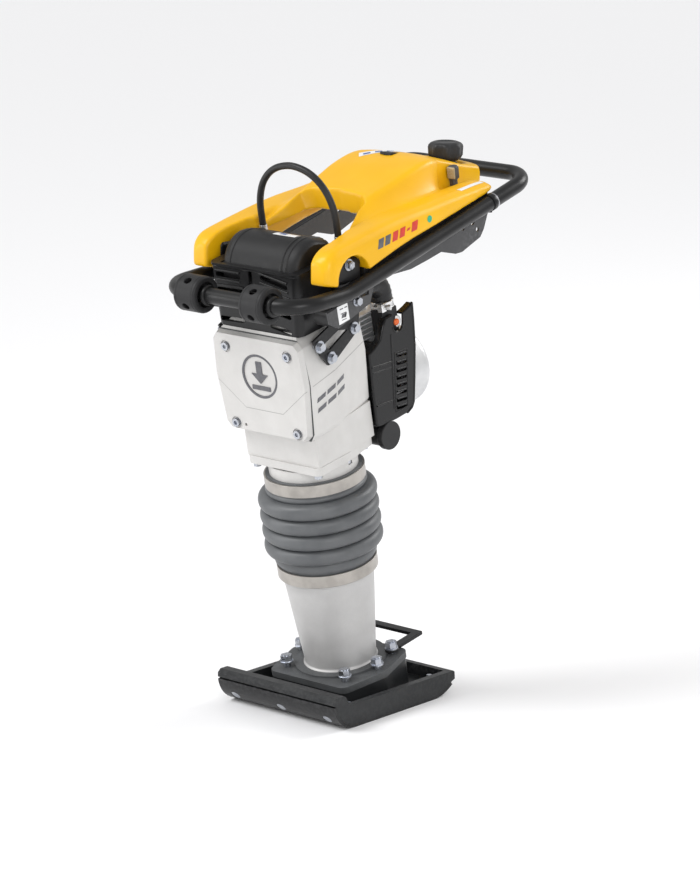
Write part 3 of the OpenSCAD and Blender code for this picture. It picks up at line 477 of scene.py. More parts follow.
def addPatch(bm, corners, columns=12, rows=3):
    # a grid stretched between four corners
    made = bmesh.ops.create_grid(bm, x_segments=columns, y_segments=rows, size=1)["verts"]
    a, b, c, d = (Vector(corner) for corner in corners)
    for vert in made:
        u, v = (vert.co.x + 1) / 2, (vert.co.y + 1) / 2
        vert.co = (a * (1 - u) + b * u) * (1 - v) + (d * (1 - u) + c * u) * v


def laidOn(bm, target, direction, lift, place=level):
    # the sheet in bm, in millimetres, dropped along a direction onto a finished piece
    bmesh.ops.transform(bm, matrix=place @ Matrix.Scale(mm, 4), verts=bm.verts)
    direction = (place.to_3x3() @ Vector(direction)).normalized()
    tree = BVHTree.FromObject(target, bpy.context.evaluated_depsgraph_get())
    for vert in bm.verts:
        spot, normal = tree.ray_cast(vert.co - direction * 0.1, direction)[:2]
        if spot is not None:
            vert.co = spot - direction * lift * mm


def finishDecal(name, bm, finish, target, body, direction, lift, place=level):
    # a label or mark that lies on a finished piece and faces outwards
    laidOn(bm, target, direction, lift, place)
    bmesh.ops.recalc_face_normals(bm, faces=bm.faces)
    outwards = (place.to_3x3() @ Vector(direction)).normalized()
    for face in bm.faces:
        face.normal_update()
        if face.normal.dot(outwards) > 0:
            face.normal_flip()
    return wrapMesh(name, bm, finish, body, (), 60, False)


def cut(scratch, cutters):
    # the scratch object with the cutters taken out of it
    for cutter in cutters:
        modifier = scratch.modifiers.new("cut", "BOOLEAN")
        modifier.operation, modifier.solver, modifier.object = "DIFFERENCE", "EXACT", cutter
    mesh = applied(scratch)
    for cutter in cutters:
        bpy.data.objects.remove(cutter)
    done = bpy.data.objects.new("cutWork", mesh)
    scene.collection.objects.link(done)
    return done


def moulded(scratch, voxel, rounds):
    # one rounded skin round overlapping bodies, as a rotational or blow mould gives
    modifier = scratch.modifiers.new("skin", "REMESH")
    modifier.mode, modifier.voxel_size, modifier.use_smooth_shade = "VOXEL", voxel, True
    mesh = applied(scratch)
    bm = bmesh.new()
    bm.from_mesh(mesh)
    bpy.data.meshes.remove(mesh)
    for _ in range(rounds):
        bmesh.ops.smooth_vert(bm, verts=bm.verts, factor=0.5, use_axis_x=True, use_axis_y=True, use_axis_z=True)
    return bm


def steps(start, end, count):
    # values from start to end, both counted in
    return [start + (end - start) * i / count for i in range(count + 1)]


# lifting cable
cableSet = {
    "side": 49, "r": 6.2, "steps": 88,
    # half of the route over the top, as (x, s)
    "half": [(-88, 878), (-88, 890), (-88, 904), (-87, 918), (-84, 932), (-79, 946), (-72, 959), (-62, 971),
             (-50, 981), (-35, 989), (-18, 994), (0, 996)],
}


def makeCable():
    half = cableSet["half"]
    route = half + [(-x, s) for x, s in reversed(half[:-1])]
    across = [(i, x) for i, (x, s) in enumerate(route)]
    upward = [(i, s) for i, (x, s) in enumerate(route)]
    points = [leaned(along(across, t), cableSet["side"], along(upward, t))
              for t in steps(0, len(route) - 1, cableSet["steps"])]
    cable = tube("lifting_cable.hose", [point / mm for point in points], cableSet["r"])
    cable.data.materials.append(materials["hoseRubber"])
    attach(cable, frame["nodes"]["lifting_cable"]["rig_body"])
    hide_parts("lifting_cable")


makeCable()
print("lifting cable laid")


# making and finishing pieces
def finishPiece(name, bm, finish, body, replaced=(), place=level, sharp=35, weighted=True):
    # a piece drawn in millimetres about its place, brought into the frame
    bmesh.ops.transform(bm, matrix=place @ Matrix.Scale(mm, 4), verts=bm.verts)
    bmesh.ops.recalc_face_normals(bm, faces=bm.faces)
    return wrapMesh(name, bm, finish, body, replaced, sharp, weighted)


def shaded(name, bm, finish, sharp):
    # a piece with its material and its sharp edges
    mesh = bpy.data.meshes.new(name)
    bm.to_mesh(mesh)
    bm.free()
    mesh.materials.append(materials[finish])
    mesh.shade_smooth()
    mesh.set_sharp_from_angle(angle=math.radians(sharp))
    piece = bpy.data.objects.new(name, mesh)
    scene.collection.objects.link(piece)
    return piece


def wrapMesh(name, bm, finish, body, replaced, sharp, weighted):
    # a piece that rides on its body
    piece = shaded(name, bm, finish, sharp)
    if weighted:
        modifier = piece.modifiers.new("weighted", "WEIGHTED_NORMAL")
        modifier.keep_sharp = True
    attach(piece, body)
    if replaced:
        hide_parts(*replaced)
    return piece


def bevelEdges(bm, width, segments, crease):
    # every edge that is sharper than the crease angle is rounded off
    edges = [edge for edge in bm.edges if len(edge.link_faces) == 2
             and edge.calc_face_angle(0) > math.radians(crease)]
    if edges:
        roundOff(bm, edges, width, segments)


softSet = {"merge": 0.005, "flat": 0.6, "segments": 2, "crease": 30, "sharp": 35}


def softened(node, finish, width):
    # a copy of a CAD node with its edges broken, in its place
    bm = bmesh.new()
    bm.from_mesh(frame["nodes"][node].data)
    bmesh.ops.remove_doubles(bm, verts=bm.verts, dist=softSet["merge"] * mm)
    bmesh.ops.dissolve_limit(bm, angle_limit=math.radians(softSet["flat"]), verts=bm.verts, edges=bm.edges)
    bevelEdges(bm, width * mm, softSet["segments"], softSet["crease"])
    body = frame["nodes"][node]["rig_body"]
    wrapMesh(node + ".soft", bm, finish, body, (node,), softSet["sharp"], True)


# CAD nodes that keep their own shape, and the finish and edge that each takes
softenedNodes = {
    "sole_plate": ("blackPaint", 1.2), "shoe_body": ("shoeBlack", 2.0), "foot_flange": ("footIron", 2.5),
    "lift_bar": ("blackPaint", 0.8), "spring_cylinder": ("greyPaint", 0.8), "crankcase": ("castAlu", 2.5),
    "front_cover": ("castAlu", 2.0), "guide_cylinder": ("castAlu", 1.5), "muffler": ("engineBlack", 1.0),
    "filter_housing": ("grainedBlack", 1.5), "side_brackets": ("blackPaint", 0.6),
    "handle_plates": ("platePaint", 0.5), "engine_housing": ("engineBlack", 1.5),
    "starter_housing": ("domeAlu", 0.8), "carburettor": ("engineBlack", 1.0),
    "engine_buffer": ("hoseRubber", 1.5), "rubber_buffers": ("hoseRubber", 1.0),
    "starter_grip": ("grainedBlack", 1.5), "vent_plug": ("grainedBlack", 1.0), "sole_bolts": ("zinc", 0.5),
    "flange_nuts": ("zinc", 0.5), "flange_bolts": ("zinc", 0.5), "cover_screws": ("zinc", 0.4),
    "bracket_bolts": ("zinc", 0.5), "pivot_bolts": ("zinc", 0.5), "lower_clamp": ("band", 0.3),
    "upper_clamp": ("band", 0.3), "cable_ends": ("ferruleSteel", 0.5), "engine_cylinder": ("domeAlu", 0.4),
}
# CAD nodes that show as they are
plainNodes = {
    "guide_bush": "bushPlastic", "spring_tube": "rawSteel", "ram_springs": "springBlue", "plunger": "rawSteel",
    "cover_gasket": "gasketDark", "bearings": "rawSteel", "filter_element": "paperTan",
    "spark_plug": "hoseRubber", "crank_gear": "rawSteel", "conrod": "rawSteel", "wrist_pin": "rawSteel",
    "clutch_drum": "rawSteel", "crankshaft": "rawSteel", "flywheel": "domeAlu", "clutch_shoes": "footIron",
    "engine_piston": "domeAlu", "cap_seal": "hoseRubber",
}

for node, (finish, width) in softenedNodes.items():
    softened(node, finish, width)
for node, finish in plainNodes.items():
    shown = frame["nodes"][node]
    shown.data.materials.clear()
    shown.data.materials.append(materials[finish])
print("CAD pieces dressed:", len(softenedNodes) + len(plainNodes))


# tank that also is the hood
tankSet = {
    # heights and half widths along Y, in millimetres
    "crest": [(-110, 862), (-90, 869), (-68, 882), (-45, 898), (-12, 921), (48, 944), (96, 962), (150, 974),
              (200, 966), (250, 955), (302, 946)],
    "crestHalf": [(-110, 114), (-90, 110), (-45, 92), (-12, 81), (48, 88), (100, 91), (150, 89), (190, 82),
                  (302, 79)],
    "valleyHalf": [(-110, 120), (60, 119), (140, 112), (186, 84), (302, 80)],
    "strip": [(-206, 846), (-196, 857), (-180, 866), (-136, 877), (-90, 887), (-41, 897), (8, 905), (69, 912),
              (105, 917), (175, 925), (235, 930), (254, 927)],
    "stripFoot": [(-206, 806), (-150, 801), (-88, 825), (0, 854), (82, 875), (248, 915), (254, 916)],
    "under": [(-110, 850), (-60, 868), (-12, 886), (60, 896), (180, 905), (302, 916)],
    "outerHalf": [(-206, 150), (-198, 159), (-182, 163), (60, 162), (180, 157), (240, 152), (254, 144)],
    "innerHalf": [(-206, 121), (-90, 104), (254, 100)],
    "voxel": 2.4, "rounds": 5,
    # where the dome and the side strips begin and end, and their count of sections
    "domeRange": (-110, 302, 48), "stripRange": (-206, 254, 54),
    # opening over the crankcase, wider at the top: half outlines, and the heights that they stand at
    "foot": [(-119, -240), (-118, -150), (-112, -112), (-88, -66), (-70, -34), (-61, -6), (-46, 8), (0, 13)],
    "head": [(-123, -240), (-122, -150), (-116, -112), (-96, -62), (-84, -30), (-79, -12), (-58, 2), (0, 9)],
    "opening": (("foot", 770), ("foot", 880), ("head", 925), ("head", 990)),
    "above": 1000,
    # arch over the front mounting bolt: place, from and to across, radius
    "arch": ((-136, 811), (128, 190), 40),
    "throttleSlot": [(79.5, 174), (97.5, 174), (97.5, 256), (79.5, 256)], "slotFloor": 880,
    # filler recess and vent seat: place, floor, radius, segments
    "recesses": (((38, 252), 944, 33.5, 48), ((0, 141), 960, 8.5, 32)),
    "neck": ((38, 252, 930), (38, 252, 951.5), 17, 40),
}


def domeSection(y):
    crest, half = along(tankSet["crest"], y), along(tankSet["crestHalf"], y)
    valley, strip = along(tankSet["valleyHalf"], y), along(tankSet["strip"], min(y, 240)) - 3
    under = along(tankSet["under"], y)
    crown = 5 * min(1, max(0, (y + 20) / 120))
    foot = min(strip, crest - 6) if y < 186 else 915
    right = [(0, crest + crown), (half * 0.35, crest + crown * 0.85), (half * 0.7, crest + crown * 0.45),
             (half - 7, crest), (half, crest - 5)]
    for k in range(1, 7):
        u = k / 6
        right.append((half + (valley - half) * u, foot + (crest - 5 - foot) * (1 - u) ** 1.9))
    right += [(valley, under + (foot - under) * 0.5), (valley - 2, under), (valley * 0.5, under)]
    left = [(-x, z) for x, z in reversed(right) if x > 0]
    return [(x, y, z) for x, z in right + [(0, under)] + left]


def stripSection(y, side):
    top, foot = along(tankSet["strip"], y), along(tankSet["stripFoot"], y)
    outer, inner = along(tankSet["outerHalf"], y), along(tankSet["innerHalf"], y)
    high = max(top - foot, 6)
    points = [(inner, foot), (inner, top - 5), (inner + 5, top - 1), (outer - 18, top), (outer - 8, top - 3),
              (outer - 2, top - 0.16 * high - 3), (outer, top - 0.4 * high), (outer, foot + 2), (outer - 3, foot)]
    return [(side * x, y, z) for x, z in points]


def makeTank():
    s = tankSet
    bm = drawn((addLoft, [domeSection(y) for y in steps(*s["domeRange"])]))
    for side in (-1, 1):
        addLoft(bm, [stripSection(y, side) for y in steps(*s["stripRange"])])
    body = meshObject("tankWork", moulded(solid("tankWork", bm), s["voxel"], 0))
    sections = []
    for key, z in s["opening"]:
        whole = s[key] + [(-x, y) for x, y in reversed(s[key][:-1])]
        sections.append([(x, y, z) for x, y in whole])
    place, (near, far), r = s["arch"]
    bm = drawn((addLoft, sections), (addRod, (-far, *place), (-near, *place), r, 48),
               (addRod, (near, *place), (far, *place), r, 48),
               (addPrism, s["throttleSlot"], s["slotFloor"], s["above"], "top"))
    for place, z, r, count in s["recesses"]:
        addRod(bm, (*place, z), (*place, s["above"]), r, count)
    body = cut(body, [solid("tankCutter", bm)])
    bm = moulded(body, s["voxel"], s["rounds"])
    addRod(bm, *s["neck"])
    finishPiece("tank_hood", bm, "tankYellow", "guide_frame", ["fuel_tank"], sharp=60, weighted=False)


makeTank()
print("tank made")


# bellows
bellowsSet = {
    "fold": 107, "valley": 88.5, "pitch": 29, "first": 314, "folds": 4, "foldSteps": 16,
    "fullness": 0.62, "wall": 5,
    # outside line below and above the folds, then inside line above and below them, as (r, s)
    "lowCuff": [(86.9, 253), (86.9, 278), (89.5, 280.5), (92.0, 284), (92.5, 292), (91.5, 297)],
    "highCuff": [(90.5, 417.5), (91.5, 421), (89.5, 424.5), (86.9, 427), (86.9, 452)],
    "highSeat": [(80.1, 452), (80.1, 422), (83.5, 417)], "lowSeat": [(83.5, 298), (80.1, 284), (80.1, 253)],
    # where the bellows begins and ends to give
    "gives": (300, 418),
}


def bellowsLine(d):
    # outside line of the folds, a distance d inside
    s = bellowsSet
    reach, count = s["fold"] - s["valley"], s["foldSteps"]
    line = []
    for k in range(s["folds"]):
        middle = s["first"] + s["pitch"] * k
        for step in range(count + 1):
            turn = math.pi * (step / count - 0.5)
            swell = math.cos(turn) ** s["fullness"] if 0 < step < count else 0.0
            line.append((s["valley"] + reach * swell - d, middle + s["pitch"] / 2 * math.sin(turn)))
    return line


def makeBellows():
    s = bellowsSet
    outer = s["lowCuff"] + bellowsLine(0) + s["highCuff"]
    inner = s["highSeat"] + list(reversed(bellowsLine(s["wall"]))) + s["lowSeat"]
    bm = drawn((addTurned, outer + inner, level, 96))
    bmesh.ops.transform(bm, matrix=leaning @ Matrix.Scale(mm, 4), verts=bm.verts)
    bmesh.ops.recalc_face_normals(bm, faces=bm.faces)
    piece = shaded("bellows.rubber", bm, "bellowsRubber", 50)
    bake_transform(piece)
    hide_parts("bellows")


makeBellows()
print("bellows made")


# guide handle
handleSet = {
    "r": 14, "x": 157, "knee": (-150, 786.09), "slope": 15.9, "frontSlope": 4, "rear": 522, "front": 130.3,
    "rearCorner": 52, "frontCorner": 62, "cornerSteps": 12,
    "straight": (440, 340, 240, 140, 60, 24, 10, -10, -24),
    # collars beside the rollers, as (r, h)
    "collarX": (-105, -47, 47, 105), "collarPlace": (-280, 777),
    "collar": [(13, -4), (16, -4), (18, -2.6), (18.6, 0), (18, 2.6), (16, 4), (13, 4)],
    # sleeve, screw and bright seam of each side bar, and how far they are from the knee
    "sleeveAt": 400, "sleeve": [(13, -5), (15.2, -5), (15.6, -4), (15.6, 4), (15.2, 5), (13, 5)],
    "screwAt": 398, "screwDepths": (13, 17.5), "screwR": 4.5,
    "seamAt": 406.6, "seam": [(13.6, -1.2), (14.9, -1.2), (14.9, 1.2), (13.6, 1.2)],
}


def handlePoint(x, d):
    # a point of the tube, d from the knee: up the slope, or down the front
    y, z = handleSet["knee"]
    turn = math.radians(handleSet["slope"] if d > 0 else handleSet["frontSlope"])
    return (x, y + d * math.cos(turn), z + d * math.sin(turn))


def makeHandle():
    s = handleSet
    rear, front, count = s["rearCorner"], s["frontCorner"], s["cornerSteps"]
    half = arcPoints((s["x"] - rear, s["rear"] - rear), rear, 90, 0, count)
    half += [(s["x"], d) for d in s["straight"]]
    half += [(x, -d) for x, d in arcPoints((s["x"] - front, s["front"] - front), front, 0, 90, count)]
    loop = [handlePoint(x, d) for x, d in half] + [handlePoint(-x, d) for x, d in reversed(half)]
    mesh = applied(tube("handleWork", loop, s["r"], closed=True))
    bm = bmesh.new()
    bm.from_mesh(mesh)
    bpy.data.meshes.remove(mesh)
    upward = Vector(handlePoint(0, s["sleeveAt"] + 1)) - Vector(handlePoint(0, s["sleeveAt"]))
    wider, seam = bmesh.new(), bmesh.new()
    for x in s["collarX"]:
        addTurned(wider, s["collar"], facing((x, *s["collarPlace"]), (1, 0, 0)))
    for x in (-s["x"], s["x"]):
        addTurned(wider, s["sleeve"], facing(handlePoint(x, s["sleeveAt"]), upward))
        start, end = (Vector(handlePoint(x, s["screwAt"])) - Vector((0, 0, depth)) for depth in s["screwDepths"])
        addRod(wider, start, end, s["screwR"], 24)
        addTurned(seam, s["seam"], facing(handlePoint(x, s["seamAt"]), upward))
    sleeves = meshObject("sleeveWork", wider)
    sleeves.data.transform(Matrix.Scale(mm, 4))
    bm.from_mesh(sleeves.data)
    bpy.data.objects.remove(sleeves)
    bmesh.ops.recalc_face_normals(bm, faces=bm.faces)
    wrapMesh("guide_handle.tube", bm, "handleBlack", "guide_frame", ("guide_handle",), 40, False)
    finishPiece("guide_handle.seam", seam, "rawSteel", "guide_frame")


makeHandle()


# rollers
rollerSet = {
    "x": 76, "place": (-280, 777), "holeR": 7, "holes": 4, "turn": 38,
    # each hole and its flare: from, to, and how much wider outside
    "cuts": ((19, 40, 0), (31.2, 35, 3.8)),
    "half": [(14.4, -14), (20, -14), (20.6, -15), (21.4, -23), (22.4, -24.6), (24, -25), (28, -25), (30.2, -24.4),
             (31.8, -23), (32.5, -21), (32.5, -18.6), (32.0, -18.2), (32.0, -17.2), (32.5, -16.8)],
}


def makeRoller(side, node):
    s = rollerSet
    middle = Vector((side * s["x"], *s["place"]))
    profile = s["half"] + [(r, -h) for r, h in reversed(s["half"])]
    body = solid("rollerWork", drawn((addTurned, profile, facing(middle, (1, 0, 0)), 80)))
    cutters = []
    for low, high, wider in s["cuts"]:
        bm = bmesh.new()
        for k in range(s["holes"]):
            turn = math.radians(s["turn"] + 360 * k / s["holes"])
            out = Vector((0, -math.sin(turn), math.cos(turn)))
            addRod(bm, middle + out * low, middle + out * high, s["holeR"], 32, s["holeR"] + wider)
        cutters.append(solid("rollerCutter", bm))
    finishPiece(node + ".turned", reopened(cut(body, cutters)), "rollerBlack", node + "_body", [node])


makeRoller(-1, "roller_left")
makeRoller(1, "roller_right")
print("handle and rollers made")


# exhaust guard
guardSet = {
    # height, half width and front face
    "stations": [(739, 96.5, -86.5), (742, 97, -87.2), (800, 100.5, -85), (846, 103, -82), (848, 104, -83.5),
                 (852, 104, -83.5)],
    "rear": 30, "corner": 14, "rearCorner": 4, "wall": 3, "hollowEnds": (-6, -2.4), "edge": 0.9,
    # slots as (x, x, s, s), their radius, and how far they are cut
    "levelSlots": [(-85, -36, 832, 832), (-85, -30, 805, 806), (-85, -30, 778, 779), (-85, -36, 752, 753)],
    "slantSlots": [(20, 74, 838, 827), (8, 76, 812, 800), (8, 76, 786, 774), (33, 73, 753, 746)],
    "slotR": 4.4, "slotCut": (-95, -60),
    # hooked slot between them, the open top for the air filter, and the floor
    "hook": [(-19, 800), (-10, 794), (-8, 812), (-3, 822), (-3, 846), (-12, 846), (-12, 826), (-17, 818)],
    "hookCut": (-95, -70), "top": ((-82, -76, 847), (82, 26, 860)), "floor": ((-92, -82, 741), (92, 26, 747.4), 0.4),
    # pressed ribs beside the upper slots: radius, how far past the slot, and (face, distance) of the two
    "ribR": 1.6, "ribPast": 4, "ribFaces": (-83.6, -84.6), "ribs": ((0, 8.4), (-0.4, -8.4)),
}


def roundedSection(half, front, rear, corner, s):
    small = guardSet["rearCorner"]
    points = arcPoints((half - corner, front + corner), corner, 270, 360, 6)
    points += arcPoints((half - small, rear - small), small, 0, 90, 6)
    points += [(-x, y) for x, y in reversed(points)]
    return [(x, y, s) for x, y in points]


def makeGuard():
    s = guardSet
    last = len(s["stations"]) - 1
    bodies = []
    for inset, (low, high) in ((0, (0, 0)), (s["wall"], s["hollowEnds"])):
        sections = []
        for i, (height, half, front) in enumerate(s["stations"]):
            if inset and i == last - 1:
                continue
            height += low if i == 0 else high if i == last else 0
            sections.append(roundedSection(half - inset, front + inset, s["rear"] - inset, s["corner"] - inset,
                                           height))
        bodies.append(solid("guardWork", drawn((addLoft, sections))))
    slots = drawn(*((addPrism, capsule((x0, s0), (x1, s1), s["slotR"]), *s["slotCut"], "front")
                    for x0, x1, s0, s1 in s["levelSlots"] + s["slantSlots"]),
                  (addPrism, s["hook"], *s["hookCut"], "front"))
    top = drawn((addBox, *s["top"]))
    bm = reopened(cut(bodies[0], [bodies[1], solid("slotCutter", slots), solid("topCutter", top)]))
    bmesh.ops.remove_doubles(bm, verts=bm.verts, dist=0.01)
    bevelEdges(bm, s["edge"], 2, 40)
    addBox(bm, *s["floor"])
    past = s["ribPast"]
    for x0, x1, s0, s1 in s["levelSlots"][:2] + s["slantSlots"][:2]:
        face = s["ribFaces"][0 if s0 > 820 else 1]
        for back, away in s["ribs"]:
            addRod(bm, (x0 - past, face + back, s0 + away), (x1 + past, face + back, s1 + away), s["ribR"], 16)
    finishPiece("muffler_guard.sheet", bm, "guardBlack", "upper_unit", ["muffler_guard"], leaning)


makeGuard()


# air filter cover
coverSet = {
    # place across, and size of the arch there
    "stations": [(-86, 0.80), (-85, 0.88), (-82, 0.95), (-77, 0.99), (-72, 1.0), (-70, 1.03), (-65, 1.03),
                 (-63, 1.0), (48, 1.0), (49.5, 1.035), (54, 1.04), (55.5, 1.0), (59, 1.0), (60.5, 1.035),
                 (65, 1.04), (66.5, 1.0), (74, 0.985), (80, 0.93), (84, 0.86), (86, 0.78)],
    "middle": (-14, 850),
    # arch seen from the side, as (y, s): foot, round front, slope
    "foot": (-71, 849), "round": ((-14, 835), 56, 164, 76, 14),
    "slope": [(12, 885), (24, 881), (33, 875), (38, 866), (42, 849)],
    "rim": ((-82, -74, 844), (82, 40, 850), 1.5),
    # label and what is printed on it: finish, lift, corners and counts
    "label": ("labelWhite", 0.4, [(-8, -13, 900), (44, -13, 900), (44, 5, 900), (-8, 5, 900)], 12, 8),
    "print": ("inkBlue", 0.7, [(4, -8, 901), (18, -8, 901), (18, 0, 901), (4, 0, 901)], 6, 4),
}


def archSection(x, size):
    my, ms = coverSet["middle"]
    points = [coverSet["foot"], *arcPoints(*coverSet["round"]), *coverSet["slope"]]
    return [(x, my + (y - my) * size, ms + (s - ms) * size) for y, s in points]


def makeFilterCover():
    arches = [archSection(x, size) for x, size in coverSet["stations"]]
    bm = drawn((addLoft, arches), (addBox, *coverSet["rim"]))
    cover = finishPiece("filter_cover.lid", bm, "grainedBlack", "upper_unit", ["filter_cover"],
                        leaning, 30, False)
    for key in ("label", "print"):
        finish, lift, *patch = coverSet[key]
        finishDecal("filter_cover." + key, drawn((addPatch, *patch)), finish, cover, "upper_unit",
                    (0, 0, -1), lift, leaning)


makeFilterCover()
print("guard and filter cover made")


# engine shroud, with the spark plug's cap in it
shroudSet = {
    # outline seen from the side, as (y, s)
    "outline": [(95, 640), (112, 646), (128, 655), (139, 676), (150, 689), (172, 690), (196, 684), (212, 688),
                (226, 693), (224, 660), (219, 612), (207, 556), (197, 512), (191, 504), (178, 499), (150, 498),
                (110, 499), (95, 502), (91, 508)],
    "half": 80, "wall": 3.5, "middle": (160, 590), "corner": 3.5,
    # openings: rear for the starter, top for the cylinder, front against the crankcase
    "openings": [((-66, 196, 488), (66, 240, 720)), ((-70, 100, 650), (66, 214, 720)),
                 ((-74, 80, 506), (74, 98, 632))],
    # notch in the top edge, and its depth; round notch in the lower edge
    "notch": ((179, 668), (188, 720), 14, 12), "notchCut": (55, 90),
    "lowNotch": ((15, 122, 476), (90, 122, 476), 26.5, 48),
    "louvres": 8, "firstLouvre": (164, 610), "stepDown": (-2.3, -13.3), "louvreR": 3.1, "louvreCut": (70, 90),
    # rolled rim down the rear edge and bead round the notch
    "rim": [(224.5, 691), (222.5, 660), (217.5, 612), (206, 556), (196.5, 514), (190, 505.5), (178, 500.5)],
    "rimX": 78.4, "rimInside": 1.6, "rimR": 3.0, "bead": ((179, 668), 15.2, 190, 350, 14),
    "beadX": 79, "beadR": 2.0,
    # frame round the louvres, from the first of them, and the lip over each louvre
    "frame": [(-3, 9), (31, 5.5), (13.5, -98), (-19.5, -98)], "frameX": 79.6, "frameR": 1.3,
    "lip": ((2, 4.3), (26, 0.7)), "lipR": 1.7,
    # bands across the face and the long fold down it
    "bands": [((79.2, 98, 614), (79.2, 150, 606), 2.4, 16), ((79.2, 98, 603), (79.2, 148, 596), 1.6, 16),
              ((79.2, 98, 541), (79.2, 140, 536), 2.4, 16), ((79.3, 158, 655), (79.3, 142, 520), 2.2, 16)],
    "capPlace": ((64, 186, 669), (1, -0.3, 0)), "capStem": ((30, 186, 664), (64, 186, 668), 9, 32),
    "capBody": [(0, 0), (10.5, 0), (12, 1), (12.4, 3), (12, 6), (10.6, 8), (8, 8.6), (0, 8.6)],
    "capCentre": [(0, 8.4), (6.2, 8.4), (6.2, 9.6), (4.6, 11.4), (0, 12)],
}


def shrunk(outline, middle, wall):
    my, ms = middle
    points = []
    for y, s in outline:
        away = Vector((y - my, s - ms))
        away -= away.normalized() * wall * 1.25
        points.append((my + away.x, ms + away.y))
    return points


def makeShroud():
    s = shroudSet
    outline, half, wall = s["outline"], s["half"], s["wall"]
    (y, z), (stepY, stepZ) = s["firstLouvre"], s["stepDown"]
    louvres = [(y + stepY * k, z + stepZ * k) for k in range(s["louvres"])]
    bm = drawn((addPrism, outline, -half, half, "side"))
    bmesh.ops.recalc_face_normals(bm, faces=bm.faces)
    bevelEdges(bm, s["corner"], 4, 55)
    body = meshObject("shroudWork", bm)
    cutters = [[(addPrism, shrunk(outline, s["middle"], wall), wall - half, half - wall, "side")]]
    cutters += [[(addBox, *opening)] for opening in s["openings"]]
    cutters += [[(addPrism, capsule(*s["notch"]), *s["notchCut"], "side")], [(addRod, *s["lowNotch"])]]
    cutters += [[(addPrism, capsule((ky + 3, kz + 1), (ky + 25, kz - 2.6), s["louvreR"]), *s["louvreCut"], "side")
                 for ky, kz in louvres]]
    bm = reopened(cut(body, [solid("shroudCutter", drawn(*shapes)) for shapes in cutters]))
    bmesh.ops.remove_doubles(bm, verts=bm.verts, dist=0.01)
    rim = [(s["rimX"], ky - s["rimInside"], kz) for ky, kz in s["rim"]]
    addBead(bm, rim, s["rimR"], 20)
    for spot in rim:
        bmesh.ops.create_uvsphere(bm, u_segments=20, v_segments=12, radius=s["rimR"],
                                  matrix=Matrix.Translation(spot))
    addBead(bm, [(s["beadX"], ky, kz) for ky, kz in arcPoints(*s["bead"])], s["beadR"], 14)
    corners = [(s["frameX"], y + ky, z + kz) for ky, kz in s["frame"]]
    addBead(bm, corners + corners[:1], s["frameR"], 12)
    for ky, kz in louvres:
        addBead(bm, [(half, ky + dy, kz + dz) for dy, dz in s["lip"]], s["lipR"], 12)
    for band in s["bands"]:
        addRod(bm, *band)
    finishPiece("engine_shroud.cover", bm, "shroudBlack", "upper_unit", ["engine_shroud"],
                leaning, 38)
    place = facing(*s["capPlace"])
    bm = drawn((addTurned, s["capBody"], place, 40, False), (addRod, *s["capStem"]))
    finishPiece("plug_cap.body", bm, "labelWhite", "upper_unit", (), leaning)
    bm = drawn((addTurned, s["capCentre"], place, 32, False))
    finishPiece("plug_cap.centre", bm, "plugOrange", "upper_unit", (), leaning)


makeShroud()
print("engine shroud made")


# intake hose and its clamp
hoseSet = {
    "r": 20, "bend": 28, "foot": (56, 170, 698), "rise": 26, "onward": (132, 118, 100, 80, 60), "ripple": 0.05,
    "band": [(20.1, -6), (21.4, -6.4), (22.2, -5.6), (21.6, -4.6), (21.6, 4.6), (22.2, 5.6), (21.4, 6.4), (20.1, 6)],
    # the clamp's place, and its screw housing, screw and head, all from the hose's foot
    "clamp": (0, 0, 10), "housing": ((12, -26, 2), (24, -14, 18), 1.5),
    "screws": [((4, -24, 10), (30, -14, 10), 4.2, 24), ((28, -14.6, 10), (33, -12.8, 10), 5.4, 6)],
}


def makeHose():
    x, y, foot = hoseSet["foot"]
    r, bend, rise = hoseSet["r"], hoseSet["bend"], hoseSet["rise"]
    route = [(x, y, s) for s in steps(foot, foot + rise, 6)]
    for turn in steps(0, math.pi / 2, 14)[1:]:
        route.append((x, y - bend + bend * math.cos(turn), foot + rise + bend * math.sin(turn)))
    route += [(x, value, foot + rise + bend) for value in hoseSet["onward"]]
    sections = []
    for i, point in enumerate(route):
        ahead = Vector(route[min(i + 1, len(route) - 1)]) - Vector(route[max(i - 1, 0)])
        swell = 1.0 + hoseSet["ripple"] * (i % 2 if 4 < i < 20 else 0)
        place = Matrix.Translation(point) @ ahead.to_track_quat("Z", "X").to_matrix().to_4x4()
        sections.append([place @ Vector((r * swell * math.cos(a), r * swell * math.sin(a), 0))
                         for a in steps(0, 2 * math.pi, 48)[:-1]])
    bm = drawn((addLoft, sections))
    finishPiece("intake_elbow.hose", bm, "hoseGloss", "upper_unit", ["intake_elbow"], leaning, 60,
                False)
    start = Vector(hoseSet["foot"])
    low, high, bevel = hoseSet["housing"]
    bm = drawn((addTurned, hoseSet["band"], Matrix.Translation(start + Vector(hoseSet["clamp"])), 72),
               (addBox, start + Vector(low), start + Vector(high), bevel))
    for a, b, radius, count in hoseSet["screws"]:
        addRod(bm, start + Vector(a), start + Vector(b), radius, count)
    finishPiece("hose_clamp.band", bm, "bandBright", "upper_unit", ["hose_clamp"], leaning)


makeHose()
